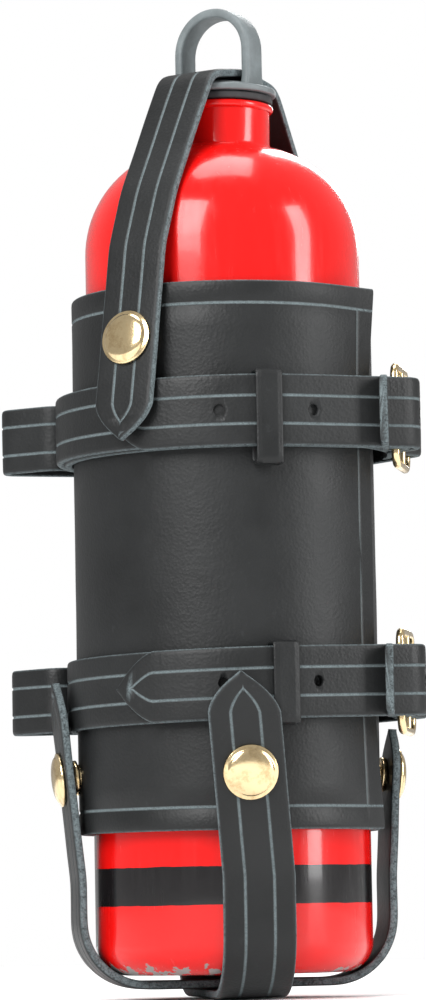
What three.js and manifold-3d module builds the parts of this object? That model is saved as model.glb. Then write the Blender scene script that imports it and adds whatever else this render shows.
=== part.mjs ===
// Leather carrying harness with a one-litre screw-top bottle in it, as separate pieces.
// Millimetres, +Z up. The origin is on the bottle's axis, at the underside of the lowest strap.
// The two cradle straps run along X and Y, and -Y is the front.
import * as THREE from "three";
import { mergeVertices } from "three/addons/utils/BufferGeometryUtils.js";
import Module from "manifold-3d";

const wasm = await Module();
wasm.setup();

// Clearances
const GAP = 0.3;
const RUNNING_GAP = 0.4;

// Bottle
const BOTTLE_RADIUS = 42;
const BOTTLE_WALL = 1.2;
const BOTTLE_HEIGHT = 265.5;
const BOTTLE_CORNER = 9;
const SHOULDER_ARC = 33;
const SHOULDER_BELOW_RIM = 46;
const BASE_DISH_RADIUS = 28;
const BASE_DISH_DEPTH = 3;
const SEAT_GAP = 1.6;
const NECK_RADIUS = 15.4;
const NECK_WALL = 2;
const BEAD_HEIGHT = 2.5;
const BEAD_PROUD = 1.2;
const BEAD_SLOPE = 0.75;
const CORNER_STEPS = 4;
const SHOULDER_STEPS = 7;

// Stopper
const GASKET_HEIGHT = 2.2;
const FLANGE_RADIUS = 17.5;
const FLANGE_HEIGHT = 2;
const CONE_HEIGHT = 2.2;
const CONE_TOP_RADIUS = 9;
const PLUG_DEPTH = 22;
const RING_WIDTH = 27;
const RING_WALL = 2.8;
const RING_DEPTH = 8.5;
const RING_HEIGHT = 23.4;

// Leather
const LEATHER = 2.6;
const WRAP_LEATHER = 2.3;
const WRAP_GAP = 0.5;
const WRAP_BOTTOM = 49.6;
const WRAP_HEIGHT = 162.8;
const WRAP_INNER_END = -60;
const WRAP_OUTER_END = 326;
const WRAP_STEP = 7;

// Belts, as heights and angles round the bottle. They run clockwise seen from above.
const BELT_WIDTH = 21.2;
const UPPER_BELT_HEIGHT = 173;
const LOWER_BELT_HEIGHT = 92.5;
const UPPER_TIP_ANGLE = 219;
const LOWER_TIP_ANGLE = 221;
const TIP_ARC = 13;
const TIP_OVERLAP = 0.5;
const TIP_STEPS = 4;
const TIP_BLUNT = 0.35;
const TIP_FULLNESS = 0.34;
const TIP_CUTTER = 30;
const HOLE_RADIUS = 2;
const HOLE_SPACING = 28.5;
const FIRST_HOLE_ANGLE = 290.5;
const HOLES_MIDDLE = 270;
const HOLE_CUTTER_END = 70;
const TAB_LENGTH = 17;
const TAB_LEAN = 8;
const BELT_ON_WRAP = 297;
const BELT_OFF_WRAP = 30;

// Buckles
const BUCKLE_BAR = 1.3;
const BUCKLE_HEIGHT = 32;
const BUCKLE_FRONT_SPAN = 13;
const BUCKLE_BACK_SPAN = 10;
const BUCKLE_TURN = 71;
const BUCKLE_DISTANCE = 54.9;
const BUCKLE_ANGLE = -22.7;
const BUCKLE_CORNER = 4;
const PRONG_WIDTH = 2.4;
const PRONG_THICK = 1.2;

// Keepers
const KEEPER_WIDTH = 8;
const KEEPER_FACE = 1.2;
const KEEPER_BACK = 0.6;
const KEEPER_EDGE = 1.6;
const KEEPER_SWING = 3;
const UPPER_KEEPER_ANGLE = 275;
const LOWER_KEEPER_ANGLE = 279;

// Hanger loops
const LOOP_WIDTH = 20;
const UPPER_LOOP_REACH = 65;
const LOWER_LOOP_REACH = 63;
const LOOP_END_RADIUS = 4.4;
const LOOP_END_Y = 33;
const LOOP_BACK_ANGLE = 104;
const LOOP_SIDE_ANGLE = 126;
const LOOP_BACK_RIVET = 108;
const LOOP_SIDE_RIVET = 131;
const LOOP_LAY_ANGLE = 116;
const LOOP_HEEL_ANGLE = 152;
const LOOP_HEEL_RADIUS = 5.4;

// Cradle straps
const CRADLE_WIDTH = 21.5;
const CRADLE_BEND = 19;
const CRADLE_SIDE = 47.4;
const CRADLE_HINGE = 36;
const CRADLE_TIP = 95.5;
const CRADLE_SNAP = 66.5;
const RIGHT_TIP = 80.5;
const FLAP_TIP_LENGTH = 0.55;
const FLAP_TIP_FULLNESS = 0.75;

// Top strap
const TOP_WIDTH = 19.5;
const TOP_TURN = -131.5;
const TOP_HINGE = 224;
const TOP_TIP = 165;
const TOP_SNAP = 195.5;
const TOP_FLANGE_BEND = 3;
const TOP_CROWN_RADIUS = 20;
const TOP_OVER_CONE = 1.4;

// Snap fasteners and rivets
const CAP_RADIUS = 8.25;
const CAP_HEIGHT = 3;
const CAP_RIM = 0.5;
const CAP_STEPS = 4;
const SOCKET_RADIUS = 5.4;
const SOCKET_HEIGHT = 1.8;
const STUD_RADIUS = 2.9;
const FLANGE_PLATE = 0.6;
const STUD_FLANGE = 4;
const SHANK_RADIUS = 1.3;
const RIVET_HEAD = 4;
const RIVET_HEAD_HEIGHT = 1.6;
const RIVET_CROWN = [[0.85, 0.7], [0.4, 1]];

const RADIANS = Math.PI / 180;
const TURN = 2 * Math.PI;
const BEND_STEP = 9 * RADIANS;
const ROUND = 36;
const SMALL_ROUND = 14;
const MERGE = 1e-4;
const OVERCUT = 3;

const bottleBase = 2 * LEATHER + GAP + SEAT_GAP;
const bottleTop = bottleBase + BOTTLE_HEIGHT;
const shoulder = bottleTop - SHOULDER_BELOW_RIM;
const flangeBottom = bottleTop + GASKET_HEIGHT + 2 * GAP;
const coneBottom = flangeBottom + FLANGE_HEIGHT;
const coneTop = coneBottom + CONE_HEIGHT;
const wrapInner = BOTTLE_RADIUS + WRAP_GAP;
const wrapPitch = WRAP_LEATHER + GAP;
const buckleCentre = polar(BUCKLE_DISTANCE, BUCKLE_ANGLE);
const frontBar = along(buckleCentre, BUCKLE_TURN, -BUCKLE_FRONT_SPAN);
const backBar = along(buckleCentre, BUCKLE_TURN, BUCKLE_BACK_SPAN);
const barFold = BUCKLE_BAR * Math.SQRT2 + GAP + LEATHER / 2;

const bottleRed = { color: 0xd5281f, metalness: 0.1, roughness: 0.2 };
const stopperGrey = { color: 0x70777a, metalness: 0, roughness: 0.5 };
const gasketBlack = { color: 0x2c2d2e, metalness: 0, roughness: 0.8 };
const leatherBlack = { color: 0x35373a, metalness: 0, roughness: 0.6 };
const brass = { color: 0xc9a64d, metalness: 1, roughness: 0.25 };

const holster = new THREE.Group();

// ---------- plane geometry ----------

function polar(radius, degrees) {
  return [radius * Math.cos(degrees * RADIANS), radius * Math.sin(degrees * RADIANS)];
}

function along([x, y], degrees, distance) {
  const [dx, dy] = polar(distance, degrees);
  return [x + dx, y + dy];
}

function wrapped(angle) {
  return ((angle % TURN) + TURN) % TURN;
}

// A strap's middle line, drawn taut round a list of stops. A stop is a round thing that the line bends
// about: turn is 1 anticlockwise, -1 clockwise and 0 at an end, and the radius may change on the way.
function tautLine(stops) {
  const headings = [];
  for (let i = 0; i + 1 < stops.length; i += 1) {
    const from = stops[i];
    const to = stops[i + 1];
    const dx = to.at[0] - from.at[0];
    const dy = to.at[1] - from.at[1];
    const offset = to.turn * to.radius[0] - from.turn * from.radius[1];
    headings.push(Math.atan2(dy, dx) - Math.asin(offset / Math.hypot(dx, dy)));
  }
  const points = [stops[0].at];
  for (let i = 1; i + 1 < stops.length; i += 1) {
    const { at, radius, turn } = stops[i];
    const sweep = wrapped(turn * (headings[i] - headings[i - 1]));
    const count = Math.max(1, Math.ceil(sweep / BEND_STEP));
    for (let k = 0; k <= count; k += 1) {
      const heading = headings[i - 1] + (turn * sweep * k) / count;
      const reach = radius[0] + ((radius[1] - radius[0]) * k) / count;
      points.push([at[0] + turn * reach * Math.sin(heading), at[1] - turn * reach * Math.cos(heading)]);
    }
  }
  points.push(stops.at(-1).at);
  return points;
}

function end(at) {
  return { at, radius: [0, 0], turn: 0 };
}

function bend(at, turn, radius, radiusAfter = radius) {
  return { at, radius: [radius, radiusAfter], turn };
}

// The outline of a band of even thickness along a middle line.
function band(points, thickness) {
  const left = [];
  const right = [];
  points.forEach(([x, y], i) => {
    const before = points[Math.max(i - 1, 0)];
    const after = points[Math.min(i + 1, points.length - 1)];
    const into = unit(x - before[0], y - before[1], after[0] - x, after[1] - y);
    const out = unit(after[0] - x, after[1] - y, x - before[0], y - before[1]);
    const sum = [into[0] + out[0], into[1] + out[1]];
    const reach = thickness / (sum[0] ** 2 + sum[1] ** 2);
    left.push([x - sum[1] * reach, y + sum[0] * reach]);
    right.push([x + sum[1] * reach, y - sum[0] * reach]);
  });
  return [...left, ...right.reverse()];
}

// The direction of (x, y), or of (otherX, otherY) at an end, where the first is nothing.
function unit(x, y, otherX, otherY) {
  const length = Math.hypot(x, y);
  return length > MERGE ? [x / length, y / length] : unit(otherX, otherY, 1, 0);
}

function shapeOf(outline) {
  return new THREE.Shape(outline.map(([x, y]) => new THREE.Vector2(x, y)));
}

// ---------- solids ----------

function extruded(shape, depth) {
  return new THREE.ExtrudeGeometry(shape, { depth, bevelEnabled: false, curveSegments: 6 });
}

function lathed(profile, sides = SMALL_ROUND) {
  const points = profile.map(([radius, height]) => new THREE.Vector2(radius, height));
  return new THREE.LatheGeometry(points, sides).rotateX(Math.PI / 2);
}

function solid(geometry) {
  const bare = geometry.clone();
  bare.deleteAttribute("normal");
  bare.deleteAttribute("uv");
  const merged = mergeVertices(bare, MERGE);
  const vertProperties = merged.attributes.position.array;
  const triVerts = new Uint32Array(merged.index.array);
  return new wasm.Manifold(new wasm.Mesh({ numProp: 3, vertProperties, triVerts }));
}

function geometryOf(manifold) {
  const mesh = manifold.getMesh();
  const geometry = new THREE.BufferGeometry();
  geometry.setAttribute("position", new THREE.BufferAttribute(new Float32Array(mesh.vertProperties), 3));
  geometry.setIndex(new THREE.BufferAttribute(new Uint32Array(mesh.triVerts), 1));
  geometry.computeVertexNormals();
  return geometry;
}

function cut(geometry, cutters) {
  return geometryOf(cutters.reduce((left, cutter) => left.subtract(solid(cutter)), solid(geometry)));
}

function add(name, geometry, finish) {
  const mesh = new THREE.Mesh(geometry, new THREE.MeshStandardMaterial(finish));
  mesh.name = name;
  holster.add(mesh);
}

// A round bar along Z between two heights.
function pin(radius, low, high, sides = SMALL_ROUND) {
  return new THREE.CylinderGeometry(radius, radius, high - low, sides)
    .rotateX(Math.PI / 2)
    .translate(0, 0, (low + high) / 2);
}

// Gives an outline drawn from above its width, with its middle at a height.
function standOn(outline, width, height) {
  return extruded(shapeOf(outline), width).translate(0, 0, height - width / 2);
}

// Stands an outline drawn in (outward, up) on a plane through the axis, and gives it its width across.
function standing(outline, width, degrees) {
  return extruded(shapeOf(outline), width)
    .translate(0, 0, -width / 2)
    .rotateX(Math.PI / 2)
    .rotateZ(degrees * RADIANS);
}

// Local Z points out from the axis at the given angle, local Y up, and local X across.
function facingOut(degrees, distance, height) {
  const [x, y] = polar(1, degrees);
  return new THREE.Matrix4()
    .makeBasis(new THREE.Vector3(-y, x, 0), new THREE.Vector3(0, 0, 1), new THREE.Vector3(x, y, 0))
    .setPosition(x * distance, y * distance, height);
}

// ---------- the wrap's spiral, which the belts lie on ----------

function wrapOutside(degrees) {
  return wrapInner + WRAP_LEATHER + (wrapPitch * (degrees - WRAP_INNER_END)) / 360;
}

// The same direction, counted from the wrap's inner end.
function onWrap(degrees) {
  return degrees < WRAP_INNER_END ? degrees + 360 : degrees;
}

function firstLayer(degrees) {
  return wrapOutside(degrees) + GAP + LEATHER / 2;
}

function secondLayer(degrees) {
  return firstLayer(degrees) + LEATHER + GAP;
}

const loopFoot = secondLayer(LOOP_LAY_ANGLE);

// ---------- strap ends: flat flaps that lean on what they cover ----------

// A flap's foot is at its hinge and its head at its tip, both as [outward, up] on its middle line.
function strapEnd(name, degrees, width, foot, head, snapHeight) {
  const lean = Math.atan2(head[0] - foot[0], Math.abs(head[1] - foot[1]));
  const up = Math.sign(head[1] - foot[1]);
  const length = Math.hypot(head[0] - foot[0], head[1] - foot[1]);
  const [outX, outY] = polar(1, degrees);
  const toTip = new THREE.Vector3(outX * Math.sin(lean), outY * Math.sin(lean), up * Math.cos(lean));
  const outward = new THREE.Vector3(outX * Math.cos(lean), outY * Math.cos(lean), -up * Math.sin(lean));
  const across = new THREE.Vector3().crossVectors(toTip, outward);
  const inner = [foot[0] - (LEATHER / 2) * Math.cos(lean), foot[1] + (LEATHER / 2) * up * Math.sin(lean)];
  const place = new THREE.Matrix4()
    .makeBasis(across, toTip, outward)
    .setPosition(outX * inner[0], outY * inner[0], inner[1]);
  const snapAlong = Math.abs(snapHeight - foot[1]) / Math.cos(lean);
  const snapOut = inner[0] + snapAlong * Math.sin(lean);
  const standoff = (snapOut - wrapOutside(onWrap(degrees))) / Math.cos(lean);
  return { name, width, foot, length, place, snapAlong, standoff };
}

// How far out a strap's middle line has to be where it lies over one belt layer, or over two and a keeper.
function overBelt(degrees) {
  return firstLayer(onWrap(degrees)) + LEATHER + GAP;
}

function overTip(degrees) {
  return secondLayer(onWrap(degrees)) + LEATHER + GAP;
}

// A flap leans from its hinge far enough to clear the belt and to leave room for its snap.
function leaningEnd(name, degrees, width, foot, tipHeight, snapHeight, belt) {
  const atSnap = wrapOutside(onWrap(degrees)) + SOCKET_HEIGHT + 3 * GAP + LEATHER / 2;
  const leans = [(atSnap - foot[0]) / Math.abs(snapHeight - foot[1])];
  if (belt) leans.push((belt.clear - foot[0]) / Math.abs(belt.edge - foot[1]));
  const out = foot[0] + Math.max(...leans) * Math.abs(tipHeight - foot[1]);
  return strapEnd(name, degrees, width, foot, [out, tipHeight], snapHeight);
}

function cradleEnd(side, degrees, tipHeight, clear) {
  const belt = clear && { clear, edge: LOWER_BELT_HEIGHT - BELT_WIDTH / 2 };
  const foot = [CRADLE_SIDE, CRADLE_HINGE];
  return leaningEnd(`cradle_${side}_end`, degrees, CRADLE_WIDTH, foot, tipHeight, CRADLE_SNAP, belt);
}

function topEnd(side, degrees, clear) {
  const belt = { clear, edge: UPPER_BELT_HEIGHT + BELT_WIDTH / 2 };
  const foot = [wrapOutside(onWrap(degrees)) + GAP, TOP_HINGE];
  return leaningEnd(`top_strap_${side}_end`, degrees, TOP_WIDTH, foot, TOP_TIP, TOP_SNAP, belt);
}

const ends = {
  front: cradleEnd("front", -90, CRADLE_TIP, overTip(-90) + KEEPER_FACE + GAP),
  left: cradleEnd("left", 180, CRADLE_TIP, overBelt(180)),
  back: cradleEnd("back", 90, CRADLE_TIP, overBelt(90)),
  right: cradleEnd("right", 0, RIGHT_TIP, 0),
  topFront: topEnd("front", TOP_TURN, overTip(TOP_TURN)),
  topBack: topEnd("back", TOP_TURN + 180, overBelt(TOP_TURN + 180)),
};

// Flat leather with a rounded, pointed tip and a hole for the snap's shank.
function flap({ name, width, length, snapAlong, place }) {
  const half = width / 2;
  const shape = new THREE.Shape();
  shape.moveTo(-half, GAP);
  shape.lineTo(half, GAP);
  shape.lineTo(half, length - width * FLAP_TIP_LENGTH);
  shape.quadraticCurveTo(half * FLAP_TIP_FULLNESS, length, 0, length);
  shape.quadraticCurveTo(-half * FLAP_TIP_FULLNESS, length, -half, length - width * FLAP_TIP_LENGTH);
  shape.closePath();
  const hole = new THREE.Path();
  hole.absarc(0, snapAlong, SHANK_RADIUS + GAP, 0, TURN, true);
  shape.holes.push(hole);
  add(name, extruded(shape, LEATHER).applyMatrix4(place), leatherBlack);
}

// ---------- snaps and rivets ----------

function snapCap() {
  const under = LEATHER + GAP;
  const profile = [
    [0, -2 * GAP],
    [SHANK_RADIUS, -2 * GAP],
    [SHANK_RADIUS, under],
    [CAP_RADIUS, under],
    [CAP_RADIUS, under + CAP_RIM],
  ];
  for (let i = 1; i <= CAP_STEPS; i += 1) {
    const angle = (i / CAP_STEPS) * (Math.PI / 2);
    const rise = (CAP_HEIGHT - CAP_RIM) * Math.sin(angle);
    profile.push([CAP_RADIUS * Math.cos(angle), under + CAP_RIM + rise]);
  }
  return lathed(profile);
}

function snapSocket() {
  const cavity = STUD_RADIUS + RUNNING_GAP;
  const top = -GAP;
  const plate = -2 * GAP - FLANGE_PLATE / 2;
  return lathed([
    [SHANK_RADIUS + GAP, top],
    [SHANK_RADIUS + GAP, plate],
    [cavity, plate],
    [cavity, top - SOCKET_HEIGHT],
    [SOCKET_RADIUS, top - SOCKET_HEIGHT],
    [SOCKET_RADIUS, top],
    [SHANK_RADIUS + GAP, top],
  ]);
}

function snapStud(standoff) {
  const head = -4 * GAP;
  const wrapFace = -standoff;
  const inside = wrapFace - WRAP_LEATHER;
  return lathed([
    [0, inside],
    [STUD_FLANGE, inside],
    [STUD_FLANGE, inside + FLANGE_PLATE],
    [SHANK_RADIUS, inside + FLANGE_PLATE],
    [SHANK_RADIUS, wrapFace - FLANGE_PLATE / 2],
    [STUD_FLANGE, wrapFace - FLANGE_PLATE / 2],
    [STUD_FLANGE, wrapFace + FLANGE_PLATE / 2],
    [STUD_RADIUS - GAP, wrapFace + FLANGE_PLATE / 2],
    [STUD_RADIUS - GAP, head - FLANGE_PLATE],
    [STUD_RADIUS, head - FLANGE_PLATE / 2],
    [STUD_RADIUS, head],
    [0, head],
  ]);
}

// What a stud needs out of the wrap: its shank's hole and a seat for each of its flanges.
function studSeats({ standoff, place }) {
  const inside = -standoff - WRAP_LEATHER;
  const reach = STUD_FLANGE + GAP;
  return [
    pin(reach, inside - OVERCUT, inside + FLANGE_PLATE + GAP),
    pin(SHANK_RADIUS + GAP, inside, 0),
    pin(reach, -standoff - FLANGE_PLATE / 2 - GAP, 0),
  ].map((cutter) => cutter.applyMatrix4(place));
}

function addSnap(name, { standoff, place, snapAlong }) {
  const at = place.clone().multiply(new THREE.Matrix4().makeTranslation(0, snapAlong, 0));
  add(name + "_cap", snapCap().applyMatrix4(at), brass);
  add(name + "_socket", snapSocket().applyMatrix4(at), brass);
  add(name + "_stud", snapStud(standoff).applyMatrix4(at), brass);
  return studSeats({ standoff, place: at });
}

// A rivet through layers of leather that lie on the wrap, and the holes that it needs.
function rivet(degrees, height, outerFace) {
  const place = facingOut(degrees, 0, height);
  const inside = wrapOutside(degrees) - WRAP_LEATHER;
  const head = outerFace + GAP;
  const body = lathed([
    [0, inside],
    [RIVET_HEAD, inside],
    [RIVET_HEAD, inside + FLANGE_PLATE],
    [SHANK_RADIUS, inside + FLANGE_PLATE],
    [SHANK_RADIUS, head],
    [RIVET_HEAD, head],
    ...RIVET_CROWN.map(([across, up]) => [RIVET_HEAD * across, head + RIVET_HEAD_HEIGHT * up]),
    [0, head + RIVET_HEAD_HEIGHT],
  ]);
  const holes = [
    pin(RIVET_HEAD + GAP, inside - OVERCUT, inside + FLANGE_PLATE + GAP),
    pin(SHANK_RADIUS + GAP, inside, head),
    pin(RIVET_HEAD + GAP, outerFace, head + RIVET_HEAD_HEIGHT),
  ];
  return { body: body.applyMatrix4(place), holes: holes.map((hole) => hole.applyMatrix4(place)) };
}

// ---------- bottle and stopper ----------

// One side of the bottle's section, drawn inset from the outside by a wall.
function bottleProfile(inset, neckInset) {
  const floor = bottleBase + inset;
  const side = BOTTLE_RADIUS - inset;
  const corner = BOTTLE_CORNER - inset;
  const dome = SHOULDER_ARC - inset;
  const domeCentre = BOTTLE_RADIUS - SHOULDER_ARC;
  const neck = NECK_RADIUS - neckInset;
  const profile = [
    [0, floor + BASE_DISH_DEPTH],
    [BASE_DISH_RADIUS / 2, floor + BASE_DISH_DEPTH],
    [BASE_DISH_RADIUS, floor],
  ];
  for (let i = 0; i <= CORNER_STEPS; i += 1) {
    const angle = (i / CORNER_STEPS - 1) * (Math.PI / 2);
    profile.push([side - corner + corner * Math.cos(angle), floor + corner + corner * Math.sin(angle)]);
  }
  const last = Math.acos((neck - domeCentre) / dome);
  for (let i = 0; i <= SHOULDER_STEPS; i += 1) {
    const angle = (i / SHOULDER_STEPS) * last;
    profile.push([domeCentre + dome * Math.cos(angle), shoulder + dome * Math.sin(angle)]);
  }
  return profile;
}

function bottle() {
  const bead = bottleTop - BEAD_HEIGHT;
  const outside = [
    ...bottleProfile(0, 0),
    [NECK_RADIUS, bead],
    [NECK_RADIUS + BEAD_PROUD, bead + BEAD_SLOPE],
    [NECK_RADIUS + BEAD_PROUD, bottleTop - BEAD_SLOPE],
    [NECK_RADIUS, bottleTop],
    [NECK_RADIUS - NECK_WALL, bottleTop],
  ];
  const inside = bottleProfile(BOTTLE_WALL, NECK_WALL).reverse();
  add("bottle_shell", lathed([...outside, ...inside], ROUND), bottleRed);
}

function stopper() {
  const plugRadius = NECK_RADIUS - NECK_WALL - RUNNING_GAP;
  const profile = [
    [0, bottleTop - PLUG_DEPTH],
    [plugRadius, bottleTop - PLUG_DEPTH],
    [plugRadius, flangeBottom],
    [FLANGE_RADIUS, flangeBottom],
    [FLANGE_RADIUS, coneBottom],
    [CONE_TOP_RADIUS, coneTop],
    [0, coneTop],
  ];
  const outer = RING_WIDTH / 2;
  const inner = outer - RING_WALL;
  const foot = coneBottom - FLANGE_HEIGHT / 2;
  const centre = coneTop + RING_HEIGHT - outer;
  const arch = new THREE.Shape();
  arch.moveTo(outer, foot);
  arch.lineTo(outer, centre);
  arch.absarc(0, centre, outer, 0, Math.PI, false);
  arch.lineTo(-outer, foot);
  arch.lineTo(-inner, foot);
  arch.lineTo(-inner, centre);
  arch.absarc(0, centre, inner, Math.PI, 0, true);
  arch.lineTo(inner, foot);
  arch.closePath();
  const ring = extruded(arch, RING_DEPTH)
    .translate(0, 0, -RING_DEPTH / 2)
    .rotateX(Math.PI / 2)
    .rotateZ((TOP_TURN + 90) * RADIANS);
  add("stopper", geometryOf(solid(lathed(profile, ROUND)).add(solid(ring))), stopperGrey);
}

function gasket() {
  const low = bottleTop + GAP;
  const inner = NECK_RADIUS - NECK_WALL;
  const outer = NECK_RADIUS + BEAD_PROUD;
  const profile = [
    [inner, low],
    [outer, low],
    [outer, low + GASKET_HEIGHT],
    [inner, low + GASKET_HEIGHT],
    [inner, low],
  ];
  add("stopper_gasket", lathed(profile, ROUND), gasketBlack);
}

// ---------- wrap, belts, keepers and loops ----------

function wrap(seats) {
  const middle = [];
  for (let angle = WRAP_INNER_END; angle < WRAP_OUTER_END; angle += WRAP_STEP) {
    middle.push(polar(wrapOutside(angle) - WRAP_LEATHER / 2, angle));
  }
  middle.push(polar(wrapOutside(WRAP_OUTER_END) - WRAP_LEATHER / 2, WRAP_OUTER_END));
  const sleeve = extruded(shapeOf(band(middle, WRAP_LEATHER)), WRAP_HEIGHT).translate(0, 0, WRAP_BOTTOM);
  add("wrap_sleeve", cut(sleeve, seats), leatherBlack);
}

// A block between two radii and two angles, as high as a belt or higher.
function sector(inner, outer, from, to, height, depth) {
  const shape = new THREE.Shape();
  shape.absarc(0, 0, outer, from * RADIANS, to * RADIANS, false);
  shape.absarc(0, 0, inner, to * RADIANS, from * RADIANS, true);
  shape.closePath();
  return extruded(shape, depth).translate(0, 0, height - depth / 2);
}

// The belt's middle line, up to where its pointed tip begins. It folds back round the front bar, goes
// clockwise round the wrap, weaves through the buckle and runs on over itself.
function beltMiddle(tipStart) {
  const axis = [0, 0];
  const tabEnd = along(frontBar, BUCKLE_TURN + 180 + TAB_LEAN, TAB_LENGTH);
  const tabStart = along(tabEnd, BUCKLE_TURN + 90, barFold);
  return tautLine([
    end(tabStart),
    bend(frontBar, -1, barFold),
    bend(axis, -1, firstLayer(BELT_ON_WRAP), firstLayer(BELT_OFF_WRAP)),
    bend(backBar, -1, barFold),
    bend(buckleCentre, 1, barFold),
    bend(frontBar, -1, barFold + LEATHER + GAP),
    bend(axis, -1, secondLayer(BELT_ON_WRAP), secondLayer(tipStart)),
    end(along(polar(secondLayer(tipStart), tipStart), tipStart - 90, 1)),
  ]);
}

// The last stretch of the belt, cut to a point.
function beltTip(height, tipAngle) {
  const line = [];
  const arc = TIP_ARC + TIP_OVERLAP;
  for (let k = 0; k <= TIP_STEPS; k += 1) {
    const angle = tipAngle + arc * (1 - k / TIP_STEPS);
    line.push(polar(secondLayer(angle), angle));
  }
  const block = standOn(band(line, LEATHER), BELT_WIDTH, height);
  const half = BELT_WIDTH / 2;
  const reach = secondLayer(tipAngle) * TIP_ARC * RADIANS;
  const arrow = new THREE.Shape();
  arrow.moveTo(-reach / 2, 0);
  arrow.quadraticCurveTo(-reach * TIP_BLUNT, BELT_WIDTH * TIP_FULLNESS, reach / 2, half);
  arrow.lineTo(reach, half);
  arrow.lineTo(reach, -half);
  arrow.lineTo(reach / 2, -half);
  arrow.quadraticCurveTo(-reach * TIP_BLUNT, -BELT_WIDTH * TIP_FULLNESS, -reach / 2, 0);
  const inside = secondLayer(tipAngle) - TIP_CUTTER / 2;
  const place = facingOut(tipAngle + TIP_ARC / 2, inside, height);
  return solid(block).intersect(solid(extruded(arrow, TIP_CUTTER).applyMatrix4(place)));
}

// What is cut out of a belt: a thin place under the keeper, the prong's slot and the adjusting holes.
function beltCutters(height, keeperAngle) {
  const under = wrapOutside(keeperAngle) + GAP + KEEPER_BACK + GAP;
  const swing = KEEPER_SWING + (KEEPER_WIDTH / 2 + 1) / (secondLayer(keeperAngle) * RADIANS);
  const from = keeperAngle - swing;
  const skived = sector(under - OVERCUT, under, from, keeperAngle + swing, height, BELT_WIDTH + 2);
  const slotReach = barFold + LEATHER / 2 + GAP / 2;
  const slotHigh = PRONG_WIDTH / 2 + GAP;
  const slot = pin(slotReach, height - slotHigh, height + slotHigh).translate(frontBar[0], frontBar[1], 0);
  const prongHole = pin(HOLE_RADIUS, slotReach - 1, slotReach + 2 * LEATHER)
    .applyMatrix4(facingOut(BUCKLE_TURN - 90, 0, height))
    .translate(frontBar[0], frontBar[1], 0);
  const cutters = [skived, slot, prongHole];
  const spacing = HOLE_SPACING / (secondLayer(HOLES_MIDDLE) * RADIANS);
  for (let k = 0; k < 2; k += 1) {
    const angle = FIRST_HOLE_ANGLE - k * spacing;
    const face = secondLayer(angle) - (LEATHER + GAP) / 2;
    const hole = pin(HOLE_RADIUS, face, HOLE_CUTTER_END);
    cutters.push(hole.applyMatrix4(facingOut(angle, 0, height)));
  }
  return cutters;
}

function belt(name, height, tipAngle, keeperAngle, holes) {
  const strap = standOn(band(beltMiddle(tipAngle + TIP_ARC), LEATHER), BELT_WIDTH, height);
  const whole = geometryOf(solid(strap).add(beltTip(height, tipAngle)));
  add(name, cut(whole, [...beltCutters(height, keeperAngle), ...holes]), leatherBlack);
}

function keeper(name, height, degrees) {
  const inner = wrapOutside(degrees) + GAP + KEEPER_BACK;
  const outer = secondLayer(degrees) + LEATHER / 2 + GAP;
  const hole = BELT_WIDTH / 2 + GAP;
  const shape = shapeOf([
    [inner - KEEPER_BACK, -hole - KEEPER_EDGE],
    [outer + KEEPER_FACE, -hole - KEEPER_EDGE],
    [outer + KEEPER_FACE, hole + KEEPER_EDGE],
    [inner - KEEPER_BACK, hole + KEEPER_EDGE],
  ]);
  shape.holes.push(
    new THREE.Path([
      new THREE.Vector2(inner, -hole),
      new THREE.Vector2(inner, hole),
      new THREE.Vector2(outer, hole),
      new THREE.Vector2(outer, -hole),
    ]),
  );
  const ring = extruded(shape, KEEPER_WIDTH)
    .translate(0, 0, -KEEPER_WIDTH / 2)
    .rotateX(Math.PI / 2)
    .rotateZ(degrees * RADIANS)
    .translate(0, 0, height);
  add(name, ring, leatherBlack);
}

// A strap folded into a loop that stands off to the left, with both feet on the belt.
function loopMiddle(reach) {
  const axis = [0, 0];
  const heel = polar(loopFoot + LOOP_HEEL_RADIUS + GAP, LOOP_HEEL_ANGLE);
  return tautLine([
    end(polar(loopFoot, LOOP_BACK_ANGLE)),
    bend(axis, 1, loopFoot),
    bend([-reach + LOOP_END_RADIUS + LEATHER / 2, LOOP_END_Y], 1, LOOP_END_RADIUS),
    bend(heel, 1, LOOP_HEEL_RADIUS),
    bend(axis, -1, loopFoot),
    end(polar(loopFoot, LOOP_SIDE_ANGLE)),
  ]);
}

function hangerLoop(name, height, reach, holes) {
  add(name, cut(standOn(band(loopMiddle(reach), LEATHER), LOOP_WIDTH, height), holes), leatherBlack);
}

// ---------- buckles ----------

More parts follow.
